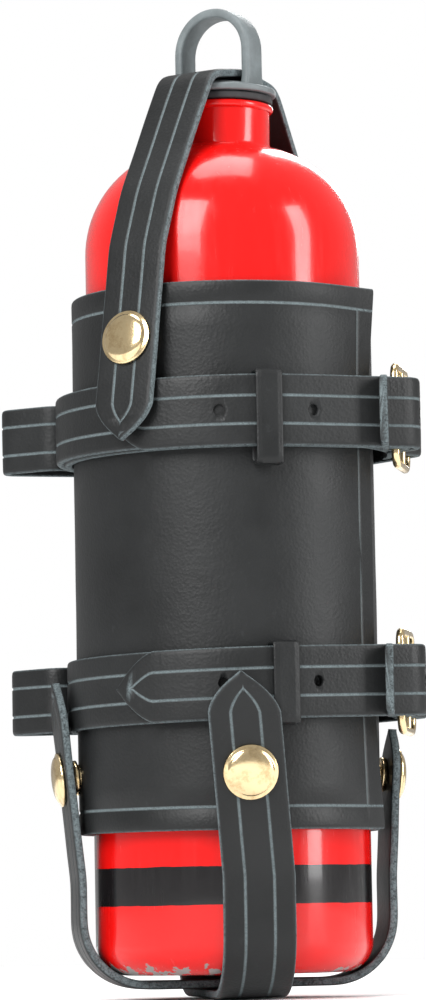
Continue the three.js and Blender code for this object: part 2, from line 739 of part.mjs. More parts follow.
// The frame stands on edge: its bars run up and down, and its rails join them above and below the belt.
function buckle(name, height) {
  const bar = 2 * BUCKLE_BAR;
  const length = BUCKLE_FRONT_SPAN + BUCKLE_BACK_SPAN + bar;
  const middle = (BUCKLE_BACK_SPAN - BUCKLE_FRONT_SPAN) / 2;
  const outline = new THREE.Shape();
  const across = length / 2 - BUCKLE_CORNER;
  const up = BUCKLE_HEIGHT / 2 - BUCKLE_CORNER;
  outline.absarc(across, -up, BUCKLE_CORNER, -Math.PI / 2, 0, false);
  outline.absarc(across, up, BUCKLE_CORNER, 0, Math.PI / 2, false);
  outline.absarc(-across, up, BUCKLE_CORNER, Math.PI / 2, Math.PI, false);
  outline.absarc(-across, -up, BUCKLE_CORNER, Math.PI, Math.PI * 1.5, false);
  const spans = [
    [-BUCKLE_FRONT_SPAN + BUCKLE_BAR, -BUCKLE_BAR],
    [BUCKLE_BAR, BUCKLE_BACK_SPAN - BUCKLE_BAR],
  ];
  const windows = spans.map(([from, to]) => {
    const window = new THREE.BoxGeometry(to - from, BUCKLE_HEIGHT - 2 * bar, 2 * bar);
    return window.translate((from + to) / 2 - middle, 0, BUCKLE_BAR);
  });
  const frame = cut(extruded(outline, bar), windows)
    .translate(middle, 0, -BUCKLE_BAR)
    .rotateX(Math.PI / 2)
    .rotateZ(BUCKLE_TURN * RADIANS)
    .translate(buckleCentre[0], buckleCentre[1], height);
  add(name + "_buckle_frame", frame, brass);
}

// The prong turns on the front bar and stands up through the belt's hole.
function prong(name, height) {
  const inner = barFold - LEATHER / 2;
  const outer = inner + PRONG_THICK;
  const tip = inner + 2 * LEATHER;
  const eye = new THREE.Shape();
  eye.absarc(0, 0, outer, 0, TURN, false);
  const hole = new THREE.Path();
  hole.absarc(0, 0, inner, 0, TURN, true);
  eye.holes.push(hole);
  const outward = BUCKLE_TURN - 90;
  const tongue = new THREE.BoxGeometry(tip - inner - GAP, PRONG_THICK, PRONG_WIDTH)
    .translate((tip + inner + GAP) / 2, 0, 0)
    .rotateZ(outward * RADIANS);
  const ring = extruded(eye, PRONG_WIDTH).translate(0, 0, -PRONG_WIDTH / 2);
  const whole = geometryOf(solid(ring).add(solid(tongue)));
  add(name + "_buckle_prong", whole.translate(frontBar[0], frontBar[1], height), brass);
}

// ---------- cradle and top straps ----------

// The part of a cradle strap that goes under the bottle, between the hinges of its ends.
function cradleMiddle(name, degrees, underside) {
  const low = underside + LEATHER / 2;
  const centre = CRADLE_SIDE - CRADLE_BEND;
  const middle = tautLine([
    end([-CRADLE_SIDE, CRADLE_HINGE]),
    bend([-centre, low + CRADLE_BEND], 1, CRADLE_BEND),
    bend([centre, low + CRADLE_BEND], 1, CRADLE_BEND),
    end([CRADLE_SIDE, CRADLE_HINGE]),
  ]);
  add(name, standing(band(middle, LEATHER), CRADLE_WIDTH, degrees), leatherBlack);
}

// The top strap's middle goes over the shoulder, bends at the stopper's flange and lies in its ring.
function topMiddle() {
  const domeCentre = BOTTLE_RADIUS - SHOULDER_ARC;
  const onDome = SHOULDER_ARC + GAP + LEATHER / 2;
  const overFlange = [FLANGE_RADIUS - TOP_FLANGE_BEND, coneBottom - TOP_FLANGE_BEND];
  const onFlange = TOP_FLANGE_BEND * Math.SQRT2 + GAP + LEATHER / 2;
  const apex = coneTop + TOP_OVER_CONE + LEATHER / 2;
  const middle = tautLine([
    end([-ends.topBack.foot[0], TOP_HINGE]),
    bend([-domeCentre, shoulder], -1, onDome),
    bend([-overFlange[0], overFlange[1]], -1, onFlange),
    bend([0, apex - TOP_CROWN_RADIUS], -1, TOP_CROWN_RADIUS),
    bend(overFlange, -1, onFlange),
    bend([domeCentre, shoulder], -1, onDome),
    end(ends.topFront.foot),
  ]);
  add("top_strap", standing(band(middle, LEATHER), TOP_WIDTH, TOP_TURN), leatherBlack);
}

// ---------- the whole ----------

bottle();
gasket();
stopper();
topMiddle();
cradleMiddle("cradle_front_strap", -90, 0);
cradleMiddle("cradle_side_strap", 180, LEATHER + GAP);

const seats = [];
for (const strapPiece of Object.values(ends)) {
  flap(strapPiece);
  seats.push(...addSnap(strapPiece.name.replace("_end", "_snap"), strapPiece));
}

const belts = [
  {
    name: "upper",
    height: UPPER_BELT_HEIGHT,
    tip: UPPER_TIP_ANGLE,
    keeperAngle: UPPER_KEEPER_ANGLE,
    reach: UPPER_LOOP_REACH,
  },
  {
    name: "lower",
    height: LOWER_BELT_HEIGHT,
    tip: LOWER_TIP_ANGLE,
    keeperAngle: LOWER_KEEPER_ANGLE,
    reach: LOWER_LOOP_REACH,
  },
];
for (const { name, height, tip, keeperAngle, reach } of belts) {
  const holes = [];
  for (const [place, degrees] of [["back", LOOP_BACK_RIVET], ["side", LOOP_SIDE_RIVET]]) {
    const made = rivet(degrees, height, loopFoot + LEATHER / 2);
    add(`${name}_loop_rivet_${place}`, made.body, brass);
    holes.push(...made.holes);
  }
  belt(`${name}_belt`, height, tip, keeperAngle, holes);
  keeper(`${name}_keeper`, height, keeperAngle);
  hangerLoop(`${name}_hanger_loop`, height, reach, holes);
  buckle(name, height);
  prong(name, height);
  seats.push(...holes);
}
wrap(seats);

export default holster;
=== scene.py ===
"""A leather bottle holster: the finished pieces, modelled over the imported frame.

Sizes are in millimetres in the functions that work out shapes, and in metres in every mesh.
Angles go round the bottle's axis from +X, and the front is at -90 degrees.
"""

import math
from collections import namedtuple

import bmesh
import bpy
from bpy.props import FloatProperty, FloatVectorProperty, IntProperty, PointerProperty
from mathutils import Matrix, Vector, noise


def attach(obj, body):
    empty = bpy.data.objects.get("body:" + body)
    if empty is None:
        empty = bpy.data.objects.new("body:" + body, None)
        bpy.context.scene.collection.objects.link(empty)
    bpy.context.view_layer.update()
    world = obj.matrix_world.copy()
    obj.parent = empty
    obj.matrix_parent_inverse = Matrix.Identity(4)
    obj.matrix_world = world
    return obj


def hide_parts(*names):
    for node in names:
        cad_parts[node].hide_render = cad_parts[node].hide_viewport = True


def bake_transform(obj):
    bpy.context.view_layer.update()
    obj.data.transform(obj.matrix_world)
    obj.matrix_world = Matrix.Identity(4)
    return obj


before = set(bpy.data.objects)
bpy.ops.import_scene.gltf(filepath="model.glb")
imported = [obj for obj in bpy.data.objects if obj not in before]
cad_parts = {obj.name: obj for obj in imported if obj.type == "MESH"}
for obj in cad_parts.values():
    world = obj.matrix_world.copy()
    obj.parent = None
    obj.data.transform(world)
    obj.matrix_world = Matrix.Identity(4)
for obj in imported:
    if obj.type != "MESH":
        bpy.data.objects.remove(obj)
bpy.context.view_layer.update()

bl_info = {
    "name": "Leather Bottle Holster",
    "version": (1, 0, 0),
    "blender": (4, 5, 0),
    "location": "3D View > Sidebar > Holster",
    "description": "Builds the wrap, belts, straps, buckles and snaps of a bottle holster, and the bottle",
    "category": "Object",
}

MM = 0.001
TURN = 2 * math.pi

# Sizes shared with the solids, in millimetres
GAP = 0.3
LEATHER = 2.6
WRAP_LEATHER = 2.3
WRAP_BOTTOM = 49.6
WRAP_HEIGHT = 162.8
WRAP_START = -60.0
WRAP_END = 326.0
BOTTLE_RADIUS = 42.0
BOTTLE_BASE = 7.1
BOTTLE_TOP = 272.6
SHOULDER = 226.6
SHOULDER_ARC = 33.0
NECK_RADIUS = 15.4
FLANGE_RADIUS = 17.5
FLANGE_BOTTOM = 275.4
CONE_BOTTOM = 277.4
CONE_TOP = 279.6
RING_TOP = 303.0
BELT_WIDTH = 21.2
BELT_HEIGHT = {"upper": 173.0, "lower": 92.5}
BELT_TILT = {"upper": 0.012, "lower": 0.022}
TIP_ANGLE = {"upper": 219.0, "lower": 221.0}
KEEPER_ANGLE = {"upper": 275.0, "lower": 279.0}
BAR = 1.3
BUCKLE_TURN = 71.0
FRONT_SPAN = 13.0
BACK_SPAN = 10.0
BUCKLE_HEIGHT = 32.0
BAR_FOLD = BAR * math.sqrt(2) + GAP + LEATHER / 2
CRADLE_WIDTH = 21.5
CRADLE_SIDE = 47.4
CRADLE_BEND = 19.0
CRADLE_HINGE = 36.0
CRADLE_SNAP = 66.5
TOP_WIDTH = 19.5
TOP_TURN = -131.5
TOP_HINGE = 224.0
TOP_SNAP = 195.5
TOP_TIP = 165.0
CRADLE_TIP = 95.5
RIGHT_TIP = 80.5
SOCKET_HEIGHT = 1.8
WRAP_CREASE = 6.8
PAST_CREASE = 9.0
CREASE_HALF = 0.3
CREASE_DEPTH = 0.3
FLARE = 2.4
FLARE_START = 304.0
WRAP_RUNGS = 12
WRAP_WAVE = 0.14
STRAP_WAVE = 0.1
FLAP_WAVE = 0.16
BELT_ON_WRAP = 297.0
BELT_OFF_WRAP = 30.0
BELT_TIP_LENGTH = 12.5
BELT_TIP_FULLNESS = 0.55
FLAP_TIP_LENGTH = 0.56
FLAP_TIP_FULLNESS = 0.75
TAB_LENGTH = 17.0
TAB_TURN = 188.0
HOLE_RADIUS = 1.7
FIRST_HOLE_ANGLE = 290.5
HOLE_SPACING = 28.5
HOLE_COUNT = 2
PRONG_SLOT_RADIUS = 1.9
KEEPER_LEATHER = 1.1
KEEPER_HALF_WIDTH = 4.0
KEEPER_CORNER = 1.3
KEEPER_SAG = {"upper": 4.2, "lower": 0.6}
LOOP_REACH = {"upper": 65.0, "lower": 63.0}
LOOP_HALF_WIDTH = 10.0
LOOP_END_RADIUS = 4.4
LOOP_END_Y = 33.0
LOOP_HEEL_RADIUS = 5.4
LOOP_HEEL_ANGLE = 152.0
LOOP_BACK_ANGLE = 104.0
LOOP_SIDE_ANGLE = 126.0
RIVET_ANGLES = {"back": 108, "side": 131}
BUCKLE_CORNER = 3.4
PRONG = 0.6
PRONG_REACH = 4.5
# How far the front cradle flap strays sideways for each millimetre above its hinge
FRONT_SKEW = -0.103

# The camera, in metres and degrees
CAMERA_AZIMUTH = -9.0
CAMERA_DISTANCE = 1.37
CAMERA_HEIGHT = 0.023
CAMERA_ASIDE = -0.0041
CAMERA_ROLL = -1.04
AIM_HEIGHT = 0.1512
FLOOR_RADIUS = 1.1
FLOOR_DROP = 0.0004

Stop = namedtuple("Stop", "at radius turn")
Station = namedtuple("Station", "at out wide half along")
Flap = namedtuple("Flap", "body node snap angle width foot head lean up snap_along standoff")


# ---------- plane geometry ----------


def polar(radius, degrees):
    angle = math.radians(degrees)
    return Vector((radius * math.cos(angle), radius * math.sin(angle)))


def end(at):
    return Stop(Vector(at), (0, 0), 0)


def bend(at, turn, radius, after=None):
    return Stop(Vector(at), (radius, radius if after is None else after), turn)


def taut_line(stops, step=math.radians(5)):
    """The middle line of a strap drawn taut round a row of stops."""
    headings = []
    for near, far in zip(stops, stops[1:]):
        run = far.at - near.at
        offset = far.turn * far.radius[0] - near.turn * near.radius[1]
        lean = max(-1.0, min(1.0, offset / run.length))
        headings.append(math.atan2(run.y, run.x) - math.asin(lean))
    points = [stops[0].at.copy()]
    for i in range(1, len(stops) - 1):
        stop = stops[i]
        sweep = (stop.turn * (headings[i] - headings[i - 1])) % TURN
        count = max(2, math.ceil(sweep / step))
        for k in range(count + 1):
            heading = headings[i - 1] + stop.turn * sweep * k / count
            reach = stop.radius[0] + (stop.radius[1] - stop.radius[0]) * k / count
            side = Vector((math.sin(heading), -math.cos(heading)))
            points.append(stop.at + stop.turn * reach * side)
    points.append(stops[-1].at.copy())
    return points


def spaced(points, spacing, closed=False):
    """The same line with evenly spaced points, and how far along each is."""
    line = list(points) + ([points[0]] if closed else [])
    lengths = [0.0]
    for a, b in zip(line, line[1:]):
        lengths.append(lengths[-1] + (b - a).length)
    count = max(2, round(lengths[-1] / spacing))
    made = []
    j = 0
    for i in range(count + (0 if closed else 1)):
        want = lengths[-1] * i / count
        while j + 2 < len(lengths) and lengths[j + 1] < want:
            j += 1
        span = lengths[j + 1] - lengths[j]
        made.append((line[j].lerp(line[j + 1], (want - lengths[j]) / span if span else 0), want))
    return made


def softened(points, rounds):
    for _ in range(rounds):
        inner = [(a + 2 * b + c) / 4 for a, b, c in zip(points, points[1:], points[2:])]
        points = [points[0], *inner, points[-1]]
    return points


def wrap_outside(degrees):
    return BOTTLE_RADIUS + 0.5 + WRAP_LEATHER + (WRAP_LEATHER + GAP) * (degrees - WRAP_START) / 360


def on_wrap(degrees):
    return degrees + 360 if degrees < WRAP_START else degrees


def first_layer(degrees):
    return wrap_outside(degrees) + GAP + LEATHER / 2


def second_layer(degrees):
    return first_layer(degrees) + LEATHER + GAP


BUCKLE_CENTRE = polar(54.9, -22.7)
FRONT_BAR = BUCKLE_CENTRE + polar(-FRONT_SPAN, BUCKLE_TURN)
BACK_BAR = BUCKLE_CENTRE + polar(BACK_SPAN, BUCKLE_TURN)
LOOP_FOOT = second_layer(116)


def strap_flap(body, node, snap, angle, width, foot, tip, snap_height, belt=None):
    """A flap that leans from its hinge far enough to clear the belt and leave room for its snap."""
    around = on_wrap(angle)
    at_snap = wrap_outside(around) + SOCKET_HEIGHT + 3 * GAP + LEATHER / 2
    leans = [(at_snap - foot[0]) / abs(snap_height - foot[1])]
    if belt:
        leans.append((belt[0] - foot[0]) / abs(belt[1] - foot[1]))
    head = (foot[0] + max(leans) * abs(tip - foot[1]), tip)
    lean = math.atan2(head[0] - foot[0], abs(head[1] - foot[1]))
    up = 1 if head[1] > foot[1] else -1
    snap_along = abs(snap_height - foot[1]) / math.cos(lean)
    inner = foot[0] - LEATHER / 2 * math.cos(lean)
    standoff = (inner + snap_along * math.sin(lean) - wrap_outside(around)) / math.cos(lean)
    return Flap(body, node, snap, angle, width, foot, head, lean, up, snap_along, standoff)


def over_belt(degrees, layers):
    around = on_wrap(degrees)
    return (second_layer(around) if layers == 2 else first_layer(around)) + LEATHER + GAP


LOW_EDGE = BELT_HEIGHT["lower"] - BELT_WIDTH / 2
HIGH_EDGE = BELT_HEIGHT["upper"] + BELT_WIDTH / 2


def cradle_flap(side, angle, tip, belt):
    names = (f"{side}_cradle_flap", f"cradle_{side}_end", f"cradle_{side}_snap")
    return strap_flap(*names, angle, CRADLE_WIDTH, (CRADLE_SIDE, CRADLE_HINGE), tip, CRADLE_SNAP, belt)


def top_flap(side, angle, belt):
    names = (f"{side}_top_flap", f"top_strap_{side}_end", f"top_strap_{side}_snap")
    foot = (wrap_outside(on_wrap(angle)) + GAP, TOP_HINGE)
    return strap_flap(*names, angle, TOP_WIDTH, foot, TOP_TIP, TOP_SNAP, belt)


FLAPS = {
    "front": cradle_flap("front", -90, CRADLE_TIP, (over_belt(-90, 2) + 1.5, LOW_EDGE)),
    "left": cradle_flap("left", 180, CRADLE_TIP, (over_belt(180, 1), LOW_EDGE)),
    "back": cradle_flap("back", 90, CRADLE_TIP, (over_belt(90, 1), LOW_EDGE)),
    "right": cradle_flap("right", 0, RIGHT_TIP, None),
    "top_front": top_flap("front", TOP_TURN, (over_belt(TOP_TURN, 2), HIGH_EDGE)),
    "top_back": top_flap("back", TOP_TURN + 180, (over_belt(TOP_TURN + 180, 1), HIGH_EDGE)),
}


def aside(flap, height):
    """How far a flap has strayed sideways at a height above its hinge."""
    skew = FRONT_SKEW if flap is FLAPS["front"] else 0.0
    return polar(1, flap.angle + 90).to_3d() * skew * max(0.0, height)


def flap_matrix(flap, along):
    """Local Z points out of the flap's inner face, and Y towards its tip."""
    out = polar(1, flap.angle)
    lean = flap.lean
    to_tip = Vector((out.x * math.sin(lean), out.y * math.sin(lean), flap.up * math.cos(lean)))
    outward = Vector((out.x * math.cos(lean), out.y * math.cos(lean), -flap.up * math.sin(lean)))
    inner = (
        flap.foot[0] - LEATHER / 2 * math.cos(lean),
        flap.foot[1] + LEATHER / 2 * flap.up * math.sin(lean),
    )
    origin = Vector((out.x * inner[0], out.y * inner[0], inner[1])) + to_tip * along
    origin += aside(flap, along * math.cos(lean))
    turn = Matrix((to_tip.cross(outward), to_tip, outward)).transposed().to_4x4()
    return Matrix.Translation(origin * MM) @ turn


def facing_out(degrees, distance, height):
    out = polar(1, degrees)
    turn = Matrix(((-out.y, out.x, 0), (0, 0, 1), (out.x, out.y, 0))).transposed().to_4x4()
    place = Vector((out.x * distance, out.y * distance, height)) * MM
    return Matrix.Translation(place) @ turn


# ---------- mesh making ----------


def finished(name, shape, finish, smooth=38):
    """Makes an object at the origin from a bmesh, with its material."""
    mesh = bpy.data.meshes.new(name)
    bmesh.ops.remove_doubles(shape, verts=shape.verts, dist=1e-5)
    bmesh.ops.recalc_face_normals(shape, faces=shape.faces)
    for face in shape.faces:
        face.smooth = True
    shape.to_mesh(mesh)
    shape.free()
    mesh.set_sharp_from_angle(angle=math.radians(smooth))
    mesh.materials.append(finish)
    made = bpy.data.objects.new(name, mesh)
    bpy.context.scene.collection.objects.link(made)
    return made


def strap_section(thickness, crease=6.4, groove=0.35, corner=0.45):
    """Half-way round a strap's cross-section: side, distance in from the edge, height, groove, cut edge."""
    top = thickness / 2
    half = [
        (crease + 0.55, top, 0, 0),
        (crease + 0.13, top, groove, 1),
        (crease - 0.13, top, groove, 1),
        (crease - 0.55, top, 0, 0),
        (1.4, top - 0.02, 0, 0),
        (0.6, top - corner * 0.3, 0, 0),
        (0.2, top - corner * 0.85, 0, 0.45),
        (0, top - corner * 1.5, 0, 1),
        (0, -top + corner * 1.2, 0, 1),
        (0.2, -top + corner * 0.4, 0, 0.8),
        (0.7, -top, 0, 0),
        (2.0, -top, 0, 0),
    ]
    right = [(1, *point) for point in half]
    return [(0, 0, top, 0, 0), *right, (0, 0, -top, 0, 0), *mirrored(right)]


def first_ring(shape, count):
    verts = [shape.verts.new() for _ in range(count)]
    return verts, [shape.edges.new(pair) for pair in zip(verts, verts[1:] + verts[:1])]


def next_ring(shape, verts, ring):
    """Extrudes a ring of edges, and gives the new verts in the same order with their edges."""
    made = bmesh.ops.extrude_edge_only(shape, edges=ring)["geom"]
    fresh = {item for item in made if isinstance(item, bmesh.types.BMVert)}
    verts = [next(e.other_vert(v) for e in v.link_edges if e.other_vert(v) in fresh) for v in verts]
    return verts, [shape.edges.get(pair) for pair in zip(verts, verts[1:] + verts[:1])]


def close_ends(shape, start, stop, closed):
    if closed:
        bmesh.ops.bridge_loops(shape, edges=stop + start)
    else:
        bmesh.ops.edgeloop_fill(shape, edges=start)
        bmesh.ops.edgeloop_fill(shape, edges=stop)


def sweep(shape, stations, section, closed=False, wave=0.0, end_crease=None):
    """Extrudes a strap's cross-section along a row of stations."""
    total = stations[-1].along
    edge_layer = shape.verts.layers.float.get("edge") or shape.verts.layers.float.new("edge")
    crease_layer = shape.verts.layers.float.get("crease") or shape.verts.layers.float.new("crease")

    def place(verts, station):
        for vert, (side, inset, lift, groove, cut) in zip(verts, section):
            room = station.half - inset
            reach = max(room, 0.0) * side
            depth = groove * min(1.0, max(0.0, room / 1.5))
            if end_crease is not None:
                beyond = total - station.along - end_crease
                if beyond < -CREASE_HALF:
                    depth = 0.0
                elif beyond < CREASE_HALF and lift > 0 and inset > end_crease - CREASE_HALF:
                    depth = CREASE_DEPTH
            at = station.at + station.wide * reach
            sway = wave * noise.noise(Vector((at.x, at.y, at.z)) / 17)
            vert.co = (at + station.out * (lift - depth + sway)) * MM
            vert[edge_layer] = cut
            vert[crease_layer] = 1.0 if depth > 0.05 else 0.0

    verts, ring = first_ring(shape, len(section))
    start = ring
    place(verts, stations[0])
    for station in stations[1:]:
        verts, ring = next_ring(shape, verts, ring)
        place(verts, station)
    close_ends(shape, start, ring, closed)


def stations_along(points, half, wide, to_space, outward, spacing=1.6, closed=False):
    """Stations on a plane line: half gives the half width at a distance from the line's two ends."""
    line = spaced(points, spacing, closed)
    count = len(line)
    total = line[-1][1]
    made = []
    for i, (at, along) in enumerate(line):
        before = line[(i - 1) % count][0] if closed else line[max(i - 1, 0)][0]
        after = line[(i + 1) % count][0] if closed else line[min(i + 1, count - 1)][0]
        heading = (after - before).normalized()
        out = Vector((-heading.y, heading.x)) * outward
        flat = to_space(at, 1)
        made.append(Station(flat, to_space(out, 0), wide, half(along, total - along), along))
    return made


def level(height, tilt=0.0):
    """Puts a line drawn from above at a height, tilted along X."""

    def to_space(at, placed):
        return Vector((at.x, at.y, (height + tilt * at.x) * placed))

    return to_space


def upright(degrees):
    """Stands a line drawn in (outward, up) on the plane through the axis at an angle."""
    out = polar(1, degrees)

    def to_space(at, placed):
        return Vector((out.x * at.x, out.y * at.x, at.y))

    return to_space


def pointed(half, taper, fullness):
    """The half width near a tip: taper is the tip's length, and a fuller tip is blunter."""

    def at(remaining):
        share = min(1.0, max(0.0, remaining) / taper)
        return max(0.35, half * (share * (1 + fullness) - fullness * share * share))

    return at


def spun(name, profile, finish, place=None, steps=48, smooth=34):
    """Turns a profile of (radius, height) into a closed round piece."""
    shape = bmesh.new()
    turned(shape, profile, steps)
    if place is not None:
        bmesh.ops.transform(shape, matrix=place, verts=shape.verts)
    return finished(name, shape, finish, smooth)


def turned(shape, profile, steps):
    verts = [shape.verts.new((radius * MM, 0, height * MM)) for radius, height in profile]
    edges = [shape.edges.new(pair) for pair in zip(verts, verts[1:])]
    about = {"cent": (0, 0, 0), "axis": (0, 0, 1)}
    bmesh.ops.spin(shape, geom=verts + edges, **about, angle=TURN, steps=steps, use_merge=True)
    bmesh.ops.remove_doubles(shape, verts=shape.verts, dist=1e-6)
    bmesh.ops.recalc_face_normals(shape, faces=shape.faces)


def arc(centre, radius, start, stop, steps):
    """Points of a profile's arc, with angles in degrees."""
    made = []
    for k in range(steps + 1):
        point = Vector(centre) + polar(radius, start + (stop - start) * k / steps)
        made.append((point.x, point.y))
    return made


def rounded_box(left, right, low, high, radius, steps):
    """Points round a box's corners, from the upper right one."""
    corners = (
        (right - radius, high - radius, 0),
        (left + radius, high - radius, 90),
        (left + radius, low + radius, 180),
        (right - radius, low + radius, 270),
    )
    made = []
    for x, y, start in corners:
        made += [Vector((x, y)) + polar(radius, start + 90 * k / steps) for k in range(steps + 1)]
    return made


def round_bar(shape, points, radius, closed=False, sides=12, flat=1.0):
    """A rod along a line of points in space, in millimetres, bent in one plane."""
    count = len(points)
    normal = None
    for i in range(1, count - 1):
        normal = (points[i] - points[i - 1]).cross(points[i + 1] - points[i])
        if normal.length > 1e-6:
            break
    if normal is None or normal.length < 1e-6:
        normal = (points[1] - points[0]).orthogonal()
    normal.normalize()
    start = verts = ring = None
    for i, at in enumerate(points):
        before = points[(i - 1) % count] if closed else points[max(i - 1, 0)]
        after = points[(i + 1) % count] if closed else points[min(i + 1, count - 1)]
        heading = (after - before).normalized()
        side = heading.cross(normal).normalized()
        if start is None:
            verts, ring = first_ring(shape, sides)
            start = ring
        else:
            verts, ring = next_ring(shape, verts, ring)
        for k, vert in enumerate(verts):
            angle = TURN * k / sides
            vert.co = (at + radius * (math.cos(angle) * side + flat * math.sin(angle) * normal)) * MM
    close_ends(shape, start, ring, closed)


def pierce(piece, cutters):
    """Cuts real holes with a Boolean modifier, and keeps only its result."""
    for cutter in cutters:
        hole = piece.modifiers.new("Hole", "BOOLEAN")
        hole.operation = "DIFFERENCE"
        hole.solver = "EXACT"
        hole.object = cutter
    bpy.context.view_layer.update()
    made = bpy.data.meshes.new_from_object(piece.evaluated_get(bpy.context.evaluated_depsgraph_get()))
    piece.modifiers.clear()
    piece.data = made
    for cutter in cutters:
        bpy.data.objects.remove(cutter)


def peg(radius, low, high, place):
    """A round cutter along the local Z axis of a placing matrix."""
    shape = bmesh.new()
    size = {"radius1": radius * MM, "radius2": radius * MM, "depth": (high - low) * MM}
    bmesh.ops.create_cone(shape, cap_ends=True, segments=24, **size)
    centre = Matrix.Translation((0, 0, (low + high) / 2 * MM))
    bmesh.ops.transform(shape, matrix=place @ centre, verts=shape.verts)
    return finished("cutter", shape, leather())


# ---------- materials ----------


class Recipe:
    """A short hand for building one material's nodes."""

    def __init__(self, name, **constants):
        self.material = bpy.data.materials.new(name)
        self.material.use_nodes = True
        self.tree = self.material.node_tree
        self.shader = next(n for n in self.tree.nodes if n.type == "BSDF_PRINCIPLED")
        for socket, value in constants.items():
            self.shader.inputs[socket.replace("_", " ")].default_value = value
        self.place = self.node("ShaderNodeTexCoord").outputs["Object"]

    def node(self, kind, **settings):
        made = self.tree.nodes.new(kind)
        for key, value in settings.items():
            setattr(made, key, value)
        return made

    def feed(self, socket, value):
        if isinstance(value, bpy.types.NodeSocket):
            self.tree.links.new(value, socket)
        else:
            socket.default_value = value

    def noise(self, scale, detail=3.0, rough=0.55, stretch=None):
        made = self.node("ShaderNodeTexNoise")
        made.inputs["Scale"].default_value = scale
        made.inputs["Detail"].default_value = detail
        made.inputs["Roughness"].default_value = rough
        source = self.place
        if stretch:
            mapping = self.node("ShaderNodeMapping")
            mapping.inputs["Scale"].default_value = stretch
            self.tree.links.new(source, mapping.inputs["Vector"])
            source = mapping.outputs["Vector"]
        self.tree.links.new(source, made.inputs["Vector"])
        return made.outputs["Fac"]

    def cells(self, scale, feature="F1"):
        made = self.node("ShaderNodeTexVoronoi", feature=feature)
        made.inputs["Scale"].default_value = scale
        self.tree.links.new(self.place, made.inputs["Vector"])
        return made.outputs["Distance"]

    def attribute(self, name):
        return self.node("ShaderNodeAttribute", attribute_name=name).outputs["Fac"]

    def math(self, operation, a, b=0.0, clamp=False):
        made = self.node("ShaderNodeMath", operation=operation, use_clamp=clamp)
        self.feed(made.inputs[0], a)
        self.feed(made.inputs[1], b)
        return made.outputs[0]

    def span(self, value, low, high, to_low=0.0, to_high=1.0):
        made = self.node("ShaderNodeMapRange", clamp=True)
        self.feed(made.inputs["Value"], value)
        for socket, number in zip(("From Min", "From Max", "To Min", "To Max"), (low, high, to_low, to_high)):
            made.inputs[socket].default_value = number
        return made.outputs["Result"]

    def blend(self, share, a, b):
        made = self.node("ShaderNodeMix", data_type="RGBA")
        self.feed(made.inputs["Factor"], share)
        self.feed(made.inputs[6], a)
        self.feed(made.inputs[7], b)
        return made.outputs[2]

    def height(self, value, distance, strength=1.0, under=None):
        made = self.node("ShaderNodeBump")
        made.inputs["Distance"].default_value = distance
        made.inputs["Strength"].default_value = strength
        self.feed(made.inputs["Height"], value)
        if under is not None:
            self.tree.links.new(under, made.inputs["Normal"])
        return made.outputs["Normal"]

    def into(self, socket, value):
        self.tree.links.new(value, self.shader.inputs[socket])


def chosen(group):
    return getattr(bpy.context.scene, f"holster_{group}")


def kept(name):
    return bpy.data.materials.get(name)


def leather():
    """Black finished leather with a fine grain, fuzzy cut edges, and pressed crease lines lightened with a
    painted highlight.
    """
    if kept("black_leather_grain"):
        return kept("black_leather_grain")
    looks = chosen("leather")
    r = Recipe("black_leather_grain", Specular_IOR_Level=0.3)
    edge = r.attribute("edge")
    crease = r.attribute("crease")
    cloudy = r.noise(38, 4)
    fibre = r.noise(1900, 2)
    base = r.blend(r.span(cloudy, 0.35, 0.7), (*looks.colour, 1), (*[c * 1.55 for c in looks.colour], 1))
    scuffs = r.math("MULTIPLY", r.span(r.noise(210, 6, 0.7), 0.62, 0.8), 0.35)
    base = r.blend(scuffs, base, (0.05, 0.054, 0.056, 1))
    # Painted highlight: the pressed crease lines are blended towards a pale grey-blue that stands in for
    # light catching them.
    base = r.blend(r.math("MULTIPLY", crease, looks.crease_highlight_strength), base, (*looks.crease_highlight_colour, 1))
    tufts = r.math("ADD", r.math("MULTIPLY", fibre, 0.6), r.math("MULTIPLY", r.noise(620, 3), 0.4))
    fuzzy = r.math("MULTIPLY", edge, r.span(tufts, 0.36, 0.58, 0.25, 1.0), True)
    r.into("Base Color", r.blend(fuzzy, base, (*looks.edge_colour, 1)))
    rough = r.math("ADD", r.span(cloudy, 0.3, 0.7, 0.4, 0.53), r.math("MULTIPLY", edge, 0.4), True)
    r.into("Roughness", rough)
    pores = r.height(r.cells(1050), 0.00010, 0.5)
    wrinkles = r.height(r.noise(330, 5, 0.62), 0.00022, 0.45, pores)
    fluff = r.height(r.math("MULTIPLY", fibre, edge), 0.0005, 0.8, wrinkles)
    r.into("Normal", fluff)
    return r.material


